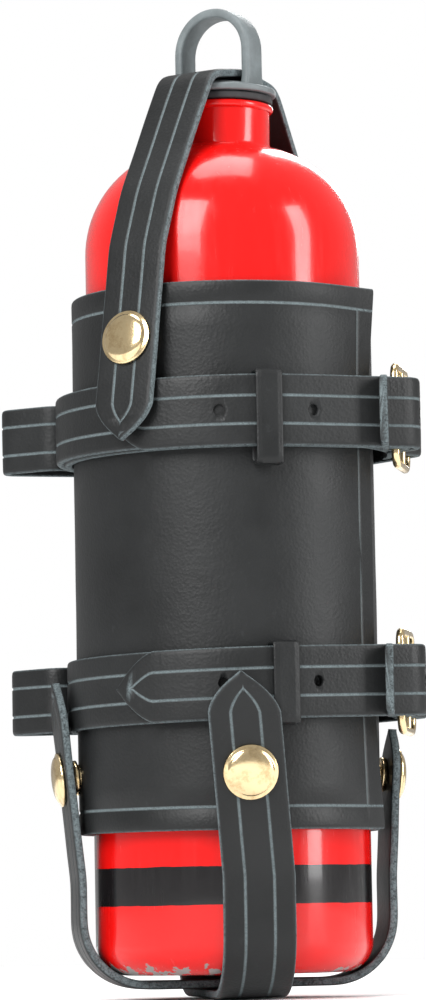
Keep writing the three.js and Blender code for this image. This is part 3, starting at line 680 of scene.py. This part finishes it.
def red_paint():
    """Glossy red paint with a plain dark band and a few chips near the foot."""
    if kept("red_bottle_paint"):
        return kept("red_bottle_paint")
    looks = chosen("bottle")
    r = Recipe("red_bottle_paint", Coat_Weight=0.3, Coat_Roughness=0.05, Specular_IOR_Level=0.3)
    split = r.node("ShaderNodeSeparateXYZ")
    r.tree.links.new(r.place, split.inputs[0])
    height = split.outputs["Z"]
    wobble = r.math("MULTIPLY", r.math("SUBTRACT", r.noise(160, 2), 0.5), 0.0006)
    level_now = r.math("ADD", height, wobble)
    above = r.math("GREATER_THAN", level_now, looks.band_bottom)
    below = r.math("LESS_THAN", level_now, looks.band_top)
    band = r.math("MULTIPLY", above, below)
    shade = (*[c * 0.9 for c in looks.colour], 1)
    tone = r.blend(r.span(r.noise(22, 3), 0.3, 0.7), (*looks.colour, 1), shade)
    tone = r.blend(band, tone, (*looks.band_colour, 1))
    near_foot = r.span(height, 0.0085, 0.02, 1.0, 0.0)
    side = r.span(split.outputs["X"], -0.03, 0.012, 1.0, 0.8)
    near_foot = r.math("MULTIPLY", near_foot, side)
    chips = r.math("GREATER_THAN", r.math("MULTIPLY", near_foot, r.noise(190, 5, 0.6)), 0.48)
    tone = r.blend(chips, tone, (0.3, 0.29, 0.28, 1))
    r.into("Base Color", tone)
    scratches = r.noise(420, 4, 0.6, (1, 1, 0.12))
    rough = r.span(scratches, 0.45, 0.75, 0.17, 0.32)
    r.into("Roughness", r.math("ADD", rough, r.math("MULTIPLY", chips, 0.3), True))
    peel = r.height(r.noise(260, 2), 0.00005, 0.35)
    r.into("Normal", r.height(chips, 0.00015, -0.8, peel))
    return r.material


def plastic():
    """Dull grey moulded plastic, lightly scuffed."""
    if kept("grey_stopper_plastic"):
        return kept("grey_stopper_plastic")
    looks = chosen("bottle")
    r = Recipe("grey_stopper_plastic", Specular_IOR_Level=0.45)
    pale = (*[c * 1.5 for c in looks.stopper_colour], 1)
    r.into("Base Color", r.blend(r.span(r.noise(120, 5, 0.65), 0.45, 0.8), (*looks.stopper_colour, 1), pale))
    r.into("Roughness", r.span(r.noise(300, 3), 0.3, 0.7, 0.42, 0.6))
    r.into("Normal", r.height(r.noise(1400, 2), 0.00006, 0.5))
    return r.material


def rubber():
    if kept("black_gasket_rubber"):
        return kept("black_gasket_rubber")
    r = Recipe("black_gasket_rubber", Specular_IOR_Level=0.35)
    r.into("Base Color", r.blend(r.noise(300, 3), (0.02, 0.02, 0.021, 1), (0.045, 0.045, 0.047, 1)))
    r.into("Roughness", r.span(r.noise(500, 3), 0.3, 0.7, 0.6, 0.8))
    r.into("Normal", r.height(r.noise(1600, 2), 0.00008, 0.5))
    return r.material


def brass():
    """Polished pale brass with faint tarnish and hairline wear."""
    if kept("polished_brass"):
        return kept("polished_brass")
    looks = chosen("brass")
    r = Recipe("polished_brass", Metallic=1.0)
    tarnish = r.span(r.noise(240, 6, 0.68), 0.5, 0.78)
    r.into("Base Color", r.blend(tarnish, (*looks.colour, 1), (*looks.tarnish_colour, 1)))
    fine = r.noise(1500, 3, 0.6)
    rough = r.span(fine, 0.3, 0.7, looks.roughness, looks.roughness + 0.08)
    r.into("Roughness", r.math("ADD", rough, r.math("MULTIPLY", tarnish, 0.14)))
    r.into("Normal", r.height(r.noise(700, 4), 0.00004, 0.35))
    return r.material


# ---------- what a user may change ----------


def colour_property(name, description, default):
    return FloatVectorProperty(
        name=name, description=description, subtype="COLOR", size=3, min=0, max=1, default=default
    )


class HolsterLeather(bpy.types.PropertyGroup):
    colour: colour_property("Leather", "Colour of the finished face", (0.0095, 0.0102, 0.0105))
    edge_colour: colour_property("Cut edge", "Colour of the fuzzy cut edges", (0.15, 0.185, 0.195))
    # The crease colour and its strength paint a highlight along the pressed lines.
    crease_highlight_colour: colour_property("Crease", "Colour of the pressed lines", (0.15, 0.18, 0.185))
    crease_highlight_strength: FloatProperty(
        name="Crease strength", description="How far the pressed lines stand out", min=0, max=1, default=0.55
    )
    crease_inset: FloatProperty(
        name="Crease inset",
        description="Distance from a strap's edge to its pressed line",
        subtype="DISTANCE",
        unit="LENGTH",
        default=0.0064,
    )
    wave: FloatProperty(
        name="Unevenness",
        description="How far the leather's surface strays from flat",
        subtype="DISTANCE",
        unit="LENGTH",
        default=0.00022,
    )


class HolsterBottle(bpy.types.PropertyGroup):
    colour: colour_property("Paint", "Colour of the bottle's paint", (0.74, 0.006, 0.005))
    band_colour: colour_property("Band", "Colour of the painted band", (0.008, 0.007, 0.0075))
    stopper_colour: colour_property("Stopper", "Colour of the stopper", (0.13, 0.15, 0.155))
    band_bottom: FloatProperty(
        name="Band bottom", description="Height of the band's lower edge", unit="LENGTH", default=0.0278
    )
    band_top: FloatProperty(
        name="Band top", description="Height of the band's upper edge", unit="LENGTH", default=0.0392
    )
    sides: IntProperty(name="Sides", description="Steps round the bottle", min=24, max=192, default=96)


class HolsterBrass(bpy.types.PropertyGroup):
    colour: colour_property("Brass", "Colour of clean brass", (0.88, 0.69, 0.4))
    tarnish_colour: colour_property("Tarnish", "Colour of dulled brass", (0.42, 0.27, 0.11))
    roughness: FloatProperty(
        name="Roughness", description="Roughness of clean brass", min=0, max=1, default=0.13
    )


class HolsterStage(bpy.types.PropertyGroup):
    floor: colour_property("Floor", "Colour of the floor", (0.88, 0.88, 0.88))
    key: FloatProperty(name="Key light", description="Power of the main light", unit="POWER", default=30)
    fill: FloatProperty(name="Fill light", description="Power of the side light", unit="POWER", default=17)
    sky: FloatProperty(name="Surround", description="Light from the surround", default=0.42)
    lens: FloatProperty(name="Lens", description="Focal length of the camera", unit="CAMERA", default=162)


# ---------- pieces ----------


def bottle_profile():
    corner = 9.0
    dish = ((0.0, 3), (14.0, 3), (24.0, 1.9), (27.0, 0.5))
    outside = [(radius, BOTTLE_BASE + rise) for radius, rise in dish]
    outside += arc((30.0, BOTTLE_BASE + 1.3), 1.3, -160, -90, 4)
    outside += arc((BOTTLE_RADIUS - corner, BOTTLE_BASE + corner), corner, -90, 0, 12)
    for k in range(1, 8):
        height = BOTTLE_BASE + corner + (SHOULDER - BOTTLE_BASE - corner) * k / 8
        outside.append((BOTTLE_RADIUS, height))
    centre = BOTTLE_RADIUS - SHOULDER_ARC
    last = math.degrees(math.acos((NECK_RADIUS + 1.2 - centre) / SHOULDER_ARC))
    outside += arc((centre, SHOULDER), SHOULDER_ARC, 0, last, 20)
    foot = outside[-1][1]
    outside += [(NECK_RADIUS + 0.4, foot + 0.55), (NECK_RADIUS, foot + 1.6)]
    outside += arc((NECK_RADIUS, BOTTLE_TOP - 1.25), 1.2, -90, 90, 10)
    outside += [(NECK_RADIUS - 1, BOTTLE_TOP), (NECK_RADIUS - 1.7, BOTTLE_TOP - 0.15)]
    neck = NECK_RADIUS - 2
    inside = [(neck, BOTTLE_TOP - 0.6), (neck, foot + 1)]
    inside += list(reversed(arc((centre, SHOULDER), SHOULDER_ARC - 1.2, 0, last - 3, 12)))
    inside += list(reversed(arc((BOTTLE_RADIUS - corner, BOTTLE_BASE + corner), corner - 1.2, -90, 0, 8)))
    inside += [(27.5, BOTTLE_BASE + 1.4), (24.0, BOTTLE_BASE + 3.2), (0.0, BOTTLE_BASE + 4.2)]
    return outside + inside


def make_bottle():
    sides = chosen("bottle").sides
    bottle = spun("painted_bottle", bottle_profile(), red_paint(), steps=sides)
    placed(bottle, "red_paint", "harness", "bottle_shell")
    low = BOTTLE_TOP + GAP
    inner, outer = NECK_RADIUS - 2, NECK_RADIUS + 1.0
    profile = [(inner, low), *arc((outer - 0.6, low + 0.6), 0.6, -90, 0, 4)]
    profile += [*arc((outer - 0.6, low + 1.6), 0.6, 0, 90, 4), (inner, low + 2.2), (inner, low)]
    placed(spun("stopper_seal", profile, rubber()), "gasket_rubber", "stopper", "stopper_gasket")


def make_stopper():
    plug = NECK_RADIUS - 2 - 0.4
    low = BOTTLE_TOP - 22
    profile = [(0, low), (plug - 1, low)]
    for k in range(6):
        thread = low + 1.5 + k * 3
        profile += [(plug - 0.5, thread), (plug, thread + 0.6)]
        profile += [(plug, thread + 1.4), (plug - 0.5, thread + 2)]
    profile += [(plug - 0.2, FLANGE_BOTTOM), (FLANGE_RADIUS - 0.5, FLANGE_BOTTOM)]
    profile += arc((FLANGE_RADIUS - 0.5, FLANGE_BOTTOM + 0.5), 0.5, -90, 0, 4)
    profile += arc((FLANGE_RADIUS - 0.6, CONE_BOTTOM - 0.6), 0.6, 0, 75, 4)
    profile += [(13.5, CONE_BOTTOM + 0.95), (9.6, CONE_TOP - 0.12), (8.6, CONE_TOP), (0, CONE_TOP)]
    shape = bmesh.new()
    turned(shape, profile, 72)
    outer, wall, depth = 13.5, 2.8, 8.5
    centre = RING_TOP - outer
    middle = outer - wall / 2
    foot = CONE_BOTTOM - 1
    line = [Vector((middle, foot)), Vector((middle, foot + 4))]
    line += [Vector((0, centre)) + polar(middle, 180 * k / 24) for k in range(25)]
    line += [Vector((-middle, foot + 4)), Vector((-middle, foot))]
    across = polar(1, TOP_TURN).to_3d()
    half = depth / 2
    section = []
    for side, up, start in ((1, 1, 90), (1, -1, 0), (-1, -1, -90), (-1, 1, -180)):
        corner = (side * (half - 0.9), up * (wall / 2 - 0.9))
        section += arc(corner, 0.9, start, start - 90, 3)
    rings = [(1 if x > 0 else -1, half - abs(x), y, 0, 0) for x, y in section]

    def flared(a, b):
        return half + 1.4 * max(0.0, 1 - min(a, b) / 6) ** 2

    stations = stations_along(line, flared, across, upright(TOP_TURN + 90), -1, 1.2)
    sweep(shape, stations, rings)
    stopper = finished("ring_stopper", shape, plastic(), 35)
    placed(stopper, "stopper_plastic", "stopper", "stopper")


def placed(piece, slot, body, *nodes):
    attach(piece, body)
    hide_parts(*nodes)


def crease_inset():
    return chosen("leather").crease_inset / MM


def wave():
    return chosen("leather").wave / MM


def leather_piece(name, shape, nodes, body="harness"):
    piece = finished(name, shape, leather())
    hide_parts(*nodes)
    if body:
        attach(piece, body)
    return piece


def make_wrap():
    middle = []
    angle = WRAP_START
    while angle <= WRAP_END:
        flare = 0.5 * max(0.0, (angle - 316) / 10) ** 2
        middle.append(polar(wrap_outside(angle) - WRAP_LEATHER / 2 + flare, angle))
        angle += 2
    shape = bmesh.new()
    half = WRAP_HEIGHT / 2
    centre = WRAP_BOTTOM + half
    stations = stations_along(middle, lambda a, b: half, Vector((0, 0, 1)), level(centre), -1, 0.6)
    sweep(shape, stations, wrap_section(half), wave=min(wave(), WRAP_WAVE), end_crease=WRAP_CREASE)
    for vert in shape.verts:
        x, y, z = vert.co / MM
        around = math.degrees(math.atan2(y, x)) % 360
        if around > FLARE_START and math.hypot(x, y) > wrap_outside(around) - WRAP_LEATHER - 0.2:
            corner = max((z - 184) / 28, (82 - z) / 32, 0.0)
            lift = FLARE * min(corner, 1.0) * ((around - FLARE_START) / (WRAP_END - FLARE_START)) ** 2
            vert.co += polar(lift * MM, around).to_3d()
    wrap = leather_piece("wrap_leather", shape, ["wrap_sleeve"])


def wrap_section(half):
    """The straps' section, with more points up the height so that the sheet can stray a little."""
    base = strap_section(WRAP_LEATHER, WRAP_CREASE, 0.3, 0.4)
    rungs = [half * (1 - k / WRAP_RUNGS) for k in range(1, WRAP_RUNGS)]
    top = WRAP_LEATHER / 2
    made = [base[0]]
    made += [(1, inset, top, 0, 0) for inset in rungs if inset > PAST_CREASE]
    body = base[1:]
    middle = len(body) // 2
    right, left = body[:middle], body[middle + 1 :]
    inner = [(1, inset, -top, 0, 0) for inset in sorted(r for r in rungs if r > PAST_CREASE)]
    return made + right + inner + [body[middle]] + mirrored(inner) + left + mirrored(made[1:])


def mirrored(half):
    return [(-1, *point[1:]) for point in reversed(half)]


def belt_line(tip):
    axis = (0, 0)
    tab_end = FRONT_BAR + polar(TAB_LENGTH, BUCKLE_TURN + TAB_TURN)
    return taut_line(
        [
            end(tab_end + polar(BAR_FOLD, BUCKLE_TURN + 90)),
            bend(FRONT_BAR, -1, BAR_FOLD),
            bend(axis, -1, first_layer(BELT_ON_WRAP), first_layer(BELT_OFF_WRAP)),
            bend(BACK_BAR, -1, BAR_FOLD),
            bend(BUCKLE_CENTRE, 1, BAR_FOLD),
            bend(FRONT_BAR, -1, BAR_FOLD + LEATHER + GAP),
            bend(axis, -1, second_layer(BELT_ON_WRAP), second_layer(tip)),
            end(polar(second_layer(tip), tip) + polar(0.2, tip - 90)),
        ]
    )


def make_belt(level_name):
    height, tilt = BELT_HEIGHT[level_name], BELT_TILT[level_name]
    tip = TIP_ANGLE[level_name]
    half = BELT_WIDTH / 2
    taper = pointed(half, BELT_TIP_LENGTH, BELT_TIP_FULLNESS)
    stations = stations_along(
        belt_line(tip),
        lambda a, b: min(taper(b), half - 0.8 * max(0.0, 1 - a / 2)),
        Vector((0, 0, 1)),
        level(height, tilt),
        1,
        1.3,
    )
    shape = bmesh.new()
    sweep(shape, stations, strap_section(LEATHER, crease_inset()), wave=min(wave(), STRAP_WAVE))
    belt = leather_piece(f"{level_name}_belt_leather", shape, [f"{level_name}_belt"])
    cutters = []
    for k in range(HOLE_COUNT):
        angle = FIRST_HOLE_ANGLE - k * math.degrees(HOLE_SPACING / second_layer(270))
        face = second_layer(angle) - LEATHER / 2 - 0.15
        place = facing_out(angle, 0, height + tilt * polar(face, angle).x)
        cutters.append(peg(HOLE_RADIUS, face, face + 8, place))
    reach = BAR_FOLD + LEATHER / 2 - 0.8
    bar = Matrix.Translation((FRONT_BAR.x * MM, FRONT_BAR.y * MM, 0))
    tall = height + tilt * FRONT_BAR.x
    outwards = bar @ facing_out(BUCKLE_TURN - 90, 0, tall)
    cutters.append(peg(PRONG_SLOT_RADIUS, reach - 1, reach + 8, outwards))
    slot = Matrix.Translation((0, 0, tall * MM)) @ bar
    cutters.append(peg(4.89, -1.5, 1.5, slot))
    pierce(belt, cutters)


def keeper_line(level_name):
    angle = KEEPER_ANGLE[level_name]
    inner = wrap_outside(angle) + GAP + 0.55
    outer = second_layer(angle) + LEATHER / 2 + GAP + 0.6
    high = BELT_WIDTH / 2 + GAP + 0.7
    return rounded_box(inner, outer, -high - KEEPER_SAG[level_name], high, KEEPER_CORNER, 4)


def make_keeper(level_name):
    angle = KEEPER_ANGLE[level_name]
    height = BELT_HEIGHT[level_name] + BELT_TILT[level_name] * polar(52, angle).x
    across = (polar(1, angle + 90)).to_3d()
    base = upright(angle)

    def to_space(at, placed):
        return base(at, placed) + Vector((0, 0, height * placed))

    line = keeper_line(level_name)
    stations = stations_along(line, lambda a, b: KEEPER_HALF_WIDTH, across, to_space, -1, 1.0, True)
    shape = bmesh.new()
    plain = [(*point[:4], 0.0) for point in strap_section(KEEPER_LEATHER, 2.0, 0.0, 0.25)]
    sweep(shape, stations, plain, closed=True)
    leather_piece(f"{level_name}_keeper_leather", shape, [f"{level_name}_keeper"], f"{level_name}_keeper")


def make_loop(level_name):
    height, tilt = BELT_HEIGHT[level_name], BELT_TILT[level_name]
    far = -LOOP_REACH[level_name] + LOOP_END_RADIUS + LEATHER / 2
    line = taut_line(
        [
            end(polar(LOOP_FOOT, LOOP_BACK_ANGLE)),
            bend((0, 0), 1, LOOP_FOOT),
            bend((far, LOOP_END_Y), 1, LOOP_END_RADIUS),
            bend(polar(LOOP_FOOT + LOOP_HEEL_RADIUS + 0.2, LOOP_HEEL_ANGLE), 1, LOOP_HEEL_RADIUS),
            bend((0, 0), -1, LOOP_FOOT),
            end(polar(LOOP_FOOT, LOOP_SIDE_ANGLE)),
        ]
    )

    def rounded_end(a, b):
        return LOOP_HALF_WIDTH - 2.2 * max(0.0, 1 - min(a, b) / 2.5) ** 2

    stations = stations_along(line, rounded_end, Vector((0, 0, 1)), level(height, tilt), -1, 1.2)
    shape = bmesh.new()
    sweep(shape, stations, strap_section(LEATHER, crease_inset() - 0.8), wave=min(wave(), STRAP_WAVE))
    leather_piece(f"{level_name}_loop_leather", shape, [f"{level_name}_hanger_loop"])


def make_half_strap(flap, line, nodes, name):
    taper = pointed(flap.width / 2, flap.width * FLAP_TIP_LENGTH, FLAP_TIP_FULLNESS)
    points = [point for point, _ in spaced(line, 1.2)]
    points = softened(points, 5)
    stations = stations_along(
        points, lambda a, b: taper(b), polar(1, flap.angle + 90).to_3d(), upright(flap.angle), 1, 1.2
    )
    flipped = []
    for s in stations:
        at = s.at + aside(flap, s.at.z - CRADLE_HINGE)
        flipped.append(s._replace(at=at, out=-s.out if flap.up > 0 else s.out))
    shape = bmesh.new()
    sweep(shape, flipped, strap_section(LEATHER, crease_inset()), wave=min(wave(), FLAP_WAVE))
    piece = leather_piece(name, shape, nodes, None)
    out = polar(flap.foot[0], flap.angle)
    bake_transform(piece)


def make_cradle_strap(side, low, node):
    flap = FLAPS[side]
    centre = CRADLE_SIDE - CRADLE_BEND
    middle = low + LEATHER / 2
    line = taut_line(
        [end((0, middle)), bend((centre, middle + CRADLE_BEND), 1, CRADLE_BEND), end(flap.foot)]
    )
    line.append(Vector(flap.head))
    make_half_strap(flap, line, [node, flap.node], f"cradle_{side}_leather")


def make_top_strap(side):
    flap = FLAPS[side]
    on_dome = SHOULDER_ARC + GAP + LEATHER / 2
    over_flange = (FLANGE_RADIUS - 3, CONE_BOTTOM - 3)
    on_flange = 3 * math.sqrt(2) + GAP + LEATHER / 2
    apex = CONE_TOP + 1.4 + LEATHER / 2
    line = taut_line(
        [
            end((-3, apex - 0.23)),
            bend((0, apex - 20), -1, 20),
            bend(over_flange, -1, on_flange),
            bend((BOTTLE_RADIUS - SHOULDER_ARC, SHOULDER), -1, on_dome),
            end(flap.foot),
        ]
    )
    line = [Vector((0, apex))] + [point for point in line if point.x > 0.3]
    line.append(Vector(flap.head))
    make_half_strap(flap, line, ["top_strap", flap.node], f"{side}_strap_leather")


def dome(radius, base, rise, steps):
    """Profile points from past a dome's rim to its top."""
    angles = [math.radians(90 * k / steps) for k in range(1, steps + 1)]
    return [(radius * math.cos(angle), base + rise * math.sin(angle)) for angle in angles]


def make_snap(flap):
    place = flap_matrix(flap, flap.snap_along)
    under = LEATHER + GAP * 0.3
    cap = [(0, -0.4), (1.3, -0.4), (1.3, under), (7.2, under)]
    cap += arc((7.65, under + 0.6), 0.6, -100, 40, 6)
    cap += [(7.55, under + 1.25), (7.2, under + 1.35)]
    cap += dome(7.0, under + 1.3, 1.75, 12)
    inner = [(1.6, -0.3), (1.6, -0.75), (3.3, -0.75), (3.3, -2.1)]
    socket = inner + arc((4.9, -1.75), 0.45, -110, 20, 5) + [(5.3, -0.9), (5.0, -0.35), (1.6, -0.3)]
    face = -flap.standoff
    inside = face - WRAP_LEATHER + 0.02
    stud = [(0, inside), (3.9, inside), (3.9, face - 1.8), (1.3, face - 1.8)]
    stud += [(1.3, face - 0.2), (4, face - 0.2), (4, face + 0.2), (3.4, face + 0.35), (2.6, face + 0.35)]
    stud += [(2.55, -1.9), (2.9, -1.6), (2.7, -1.3), (0, -1.2)]
    parts = (("cap", cap, flap.body), ("socket", socket, flap.body), ("stud", stud, "harness"))
    for part, profile, body in parts:
        node = f"{flap.snap}_{part}"
        placed(spun(f"{node}_brass", profile, brass(), place, 40), "brass", body, node)


def make_rivet(level_name, place_name, degrees):
    height = BELT_HEIGHT[level_name]
    inside = wrap_outside(degrees) - WRAP_LEATHER + 0.02
    head = LOOP_FOOT + LEATHER / 2 + 0.1
    profile = [(0, inside), (3.9, inside), (3.9, inside + 0.5), (1.3, inside + 0.5), (1.3, head), (3.7, head)]
    profile += [(4.0, head + 0.3)]
    profile += dome(3.9, head + 0.4, 1.2, 8)
    node = f"{level_name}_loop_rivet_{place_name}"
    rivet = spun(f"{node}_brass", profile, brass(), facing_out(degrees, 0, height), 32)
    placed(rivet, "brass", "harness", node)


def make_buckle(level_name):
    height = BELT_HEIGHT[level_name] + BELT_TILT[level_name] * BUCKLE_CENTRE.x
    run = polar(1, BUCKLE_TURN)
    half = BUCKLE_HEIGHT / 2 - BAR

    def at(along, up):
        spot = BUCKLE_CENTRE + run * along
        return Vector((spot.x, spot.y, height + up))

    line = [at(*spot) for spot in rounded_box(-FRONT_SPAN, BACK_SPAN, -half, half, BUCKLE_CORNER, 7)]
    shape = bmesh.new()
    round_bar(shape, line, BAR, closed=True, sides=16)
    round_bar(shape, [at(0, half - 0.4), at(0, 0), at(0, -half + 0.4)], BAR * 0.96, sides=16)
    buckle = finished(f"{level_name}_buckle_brass", shape, brass(), 50)
    placed(buckle, "brass", "harness", f"{level_name}_buckle_frame")


def make_prong(level_name):
    height = BELT_HEIGHT[level_name] + BELT_TILT[level_name] * FRONT_BAR.x
    radius = BAR_FOLD - LEATHER / 2 + 0.6
    outward = BUCKLE_TURN - 90
    line = []
    for k in range(25):
        turn = polar(radius, outward + 100 + 330 * k / 24)
        line.append(Vector((FRONT_BAR.x + turn.x, FRONT_BAR.y + turn.y, height)))
    shape = bmesh.new()
    round_bar(shape, line, PRONG, sides=10, flat=1.9)
    reach = radius + PRONG_REACH
    tongue = []
    for k in range(9):
        share = k / 8
        spot = FRONT_BAR + polar(radius - 0.2 + (reach - radius) * share, outward + 3 * share)
        tongue.append(Vector((spot.x, spot.y, height)))
    round_bar(shape, tongue, PRONG, sides=10, flat=1.8)
    prong = finished(f"{level_name}_prong_brass", shape, brass(), 50)
    placed(prong, "brass", f"{level_name}_prong", f"{level_name}_buckle_prong")


def area_light(name, power, size, place, aim, tint=(1, 1, 1)):
    data = bpy.data.lights.new(name, "AREA")
    data.energy = power
    data.shape = "RECTANGLE"
    data.size, data.size_y = size
    data.color = tint
    light = bpy.data.objects.new(name, data)
    bpy.context.scene.collection.objects.link(light)
    light.location = place
    light.rotation_euler = (Vector(aim) - Vector(place)).to_track_quat("-Z", "Y").to_euler()
    return light


def make_stage():
    stage = chosen("stage")
    shape = bmesh.new()
    bmesh.ops.create_circle(shape, cap_ends=True, segments=96, radius=FLOOR_RADIUS)
    paper = Recipe("pale_floor", Roughness=0.85)
    tone = (*stage.floor, 1)
    paper.into("Base Color", paper.blend(paper.noise(3, 2), tone, (*[c * 0.985 for c in stage.floor], 1)))
    floor = finished("pale_floor", shape, paper.material)
    floor.location.z = -FLOOR_DROP
    world = bpy.data.worlds.new("soft_surround")
    bpy.context.scene.world = world
    world.use_nodes = True
    bpy.context.scene.view_settings.view_transform = "Standard"
    tree = world.node_tree
    background = next(n for n in tree.nodes if n.type == "BACKGROUND")
    background.inputs["Color"].default_value = (1, 1, 1, 1)
    # The surround looks white but lights the object more softly than the lamps do
    rays = tree.nodes.new("ShaderNodeLightPath")
    strength = tree.nodes.new("ShaderNodeMapRange")
    strength.inputs["To Min"].default_value = stage.sky
    strength.inputs["To Max"].default_value = 1.0
    tree.links.new(rays.outputs["Is Camera Ray"], strength.inputs["Value"])
    tree.links.new(strength.outputs["Result"], background.inputs["Strength"])
    middle = (0, 0, 0.15)
    area_light("key_softbox", stage.key, (0.7, 1.1), (-0.9, -1.15, 1.0), middle)
    area_light("fill_softbox", stage.fill, (0.4, 1.2), (1.3, -0.7, 0.6), middle)
    area_light("back_strip", stage.fill * 0.6, (0.3, 1.0), (0.5, 1.2, 0.9), middle)
    area_light("top_softbox", stage.fill * 0.7, (0.8, 0.8), (0, 0.1, 1.6), middle)
    make_camera(stage.lens)


def make_camera(lens):
    data = bpy.data.cameras.new("front_camera")
    data.lens = lens
    data.sensor_width = 36
    data.clip_end = 30
    camera = bpy.data.objects.new("front_camera", data)
    bpy.context.scene.collection.objects.link(camera)
    azimuth = math.radians(CAMERA_AZIMUTH)
    aside_of_axis = Vector((math.cos(azimuth), math.sin(azimuth), 0)) * CAMERA_ASIDE
    towards = Vector((math.sin(azimuth), -math.cos(azimuth), 0))
    place = towards * CAMERA_DISTANCE + Vector((0, 0, CAMERA_HEIGHT))
    aim = aside_of_axis + Vector((0, 0, AIM_HEIGHT))
    look = (aim - (place + aside_of_axis)).to_track_quat("-Z", "Y")
    camera.location = place + aside_of_axis
    roll = Matrix.Rotation(math.radians(CAMERA_ROLL), 3, "Z").to_quaternion()
    camera.rotation_euler = (look @ roll).to_euler()
    bpy.context.scene.camera = camera


# ---------- operators ----------


class HOLSTER_OT_bottle(bpy.types.Operator):
    """Spin the painted bottle, its seal and the ring stopper"""

    bl_idname = "holster.bottle"
    bl_label = "Bottle and Stopper"

    def execute(self, context):
        make_bottle()
        make_stopper()
        return {"FINISHED"}


class HOLSTER_OT_wrap(bpy.types.Operator):
    """Roll the leather sheet that wraps the bottle"""

    bl_idname = "holster.wrap"
    bl_label = "Wrap"

    def execute(self, context):
        make_wrap()
        return {"FINISHED"}


class HOLSTER_OT_belts(bpy.types.Operator):
    """Thread both belts through their buckles, and slip on their keepers"""

    bl_idname = "holster.belts"
    bl_label = "Belts and Keepers"

    def execute(self, context):
        for name in BELT_HEIGHT:
            make_belt(name)
            make_keeper(name)
        return {"FINISHED"}


class HOLSTER_OT_loops(bpy.types.Operator):
    """Fold the two hanger loops and set their rivets"""

    bl_idname = "holster.loops"
    bl_label = "Hanger Loops"

    def execute(self, context):
        for name in BELT_HEIGHT:
            make_loop(name)
            for place_name, degrees in RIVET_ANGLES.items():
                make_rivet(name, place_name, degrees)
        return {"FINISHED"}


class HOLSTER_OT_straps(bpy.types.Operator):
    """Lay the cradle straps under the bottle and the top strap over it"""

    bl_idname = "holster.straps"
    bl_label = "Cradle and Top Straps"

    def execute(self, context):
        for side, low, node in (
            ("front", 0, "cradle_front_strap"),
            ("back", 0, "cradle_front_strap"),
            ("left", LEATHER + GAP, "cradle_side_strap"),
            ("right", LEATHER + GAP, "cradle_side_strap"),
        ):
            make_cradle_strap(side, low, node)
        make_top_strap("top_front")
        make_top_strap("top_back")
        return {"FINISHED"}


class HOLSTER_OT_snaps(bpy.types.Operator):
    """Turn the six snap fasteners in brass"""

    bl_idname = "holster.snaps"
    bl_label = "Snaps"

    def execute(self, context):
        for flap in FLAPS.values():
            make_snap(flap)
        return {"FINISHED"}


class HOLSTER_OT_buckles(bpy.types.Operator):
    """Bend the buckle frames and their prongs"""

    bl_idname = "holster.buckles"
    bl_label = "Buckles"

    def execute(self, context):
        for name in BELT_HEIGHT:
            make_buckle(name)
            make_prong(name)
        return {"FINISHED"}


class HOLSTER_OT_stage(bpy.types.Operator):
    """Set the floor, the soft lights and the camera"""

    bl_idname = "holster.stage"
    bl_label = "Stage"

    def execute(self, context):
        make_stage()
        return {"FINISHED"}


class HOLSTER_PT_panel(bpy.types.Panel):
    """Lists the holster's pieces and looks"""

    bl_idname = "HOLSTER_PT_panel"
    bl_label = "Bottle Holster"
    bl_space_type = "VIEW_3D"
    bl_region_type = "UI"
    bl_category = "Holster"

    def draw(self, context):
        column = self.layout.column(align=True)
        for operator in OPERATORS:
            column.operator(operator.bl_idname)
        for group in GROUPS:
            box = self.layout.box()
            for name in GROUPS[group].__annotations__:
                box.prop(getattr(context.scene, group), name)


OPERATORS = (
    HOLSTER_OT_stage,
    HOLSTER_OT_bottle,
    HOLSTER_OT_wrap,
    HOLSTER_OT_belts,
    HOLSTER_OT_loops,
    HOLSTER_OT_straps,
    HOLSTER_OT_snaps,
    HOLSTER_OT_buckles,
)
GROUPS = {
    "holster_leather": HolsterLeather,
    "holster_bottle": HolsterBottle,
    "holster_brass": HolsterBrass,
    "holster_stage": HolsterStage,
}


def register():
    for kind in (*GROUPS.values(), *OPERATORS, HOLSTER_PT_panel):
        bpy.utils.register_class(kind)
    for name, kind in GROUPS.items():
        setattr(bpy.types.Scene, name, PointerProperty(type=kind))


def unregister():
    for name in GROUPS:
        delattr(bpy.types.Scene, name)
    for kind in (HOLSTER_PT_panel, *reversed(OPERATORS), *reversed(GROUPS.values())):
        bpy.utils.unregister_class(kind)


def main():
    register()
    for operator in OPERATORS:
        group, name = operator.bl_idname.split(".")
        getattr(getattr(bpy.ops, group), name)()


if __name__ == "__main__":
    main()
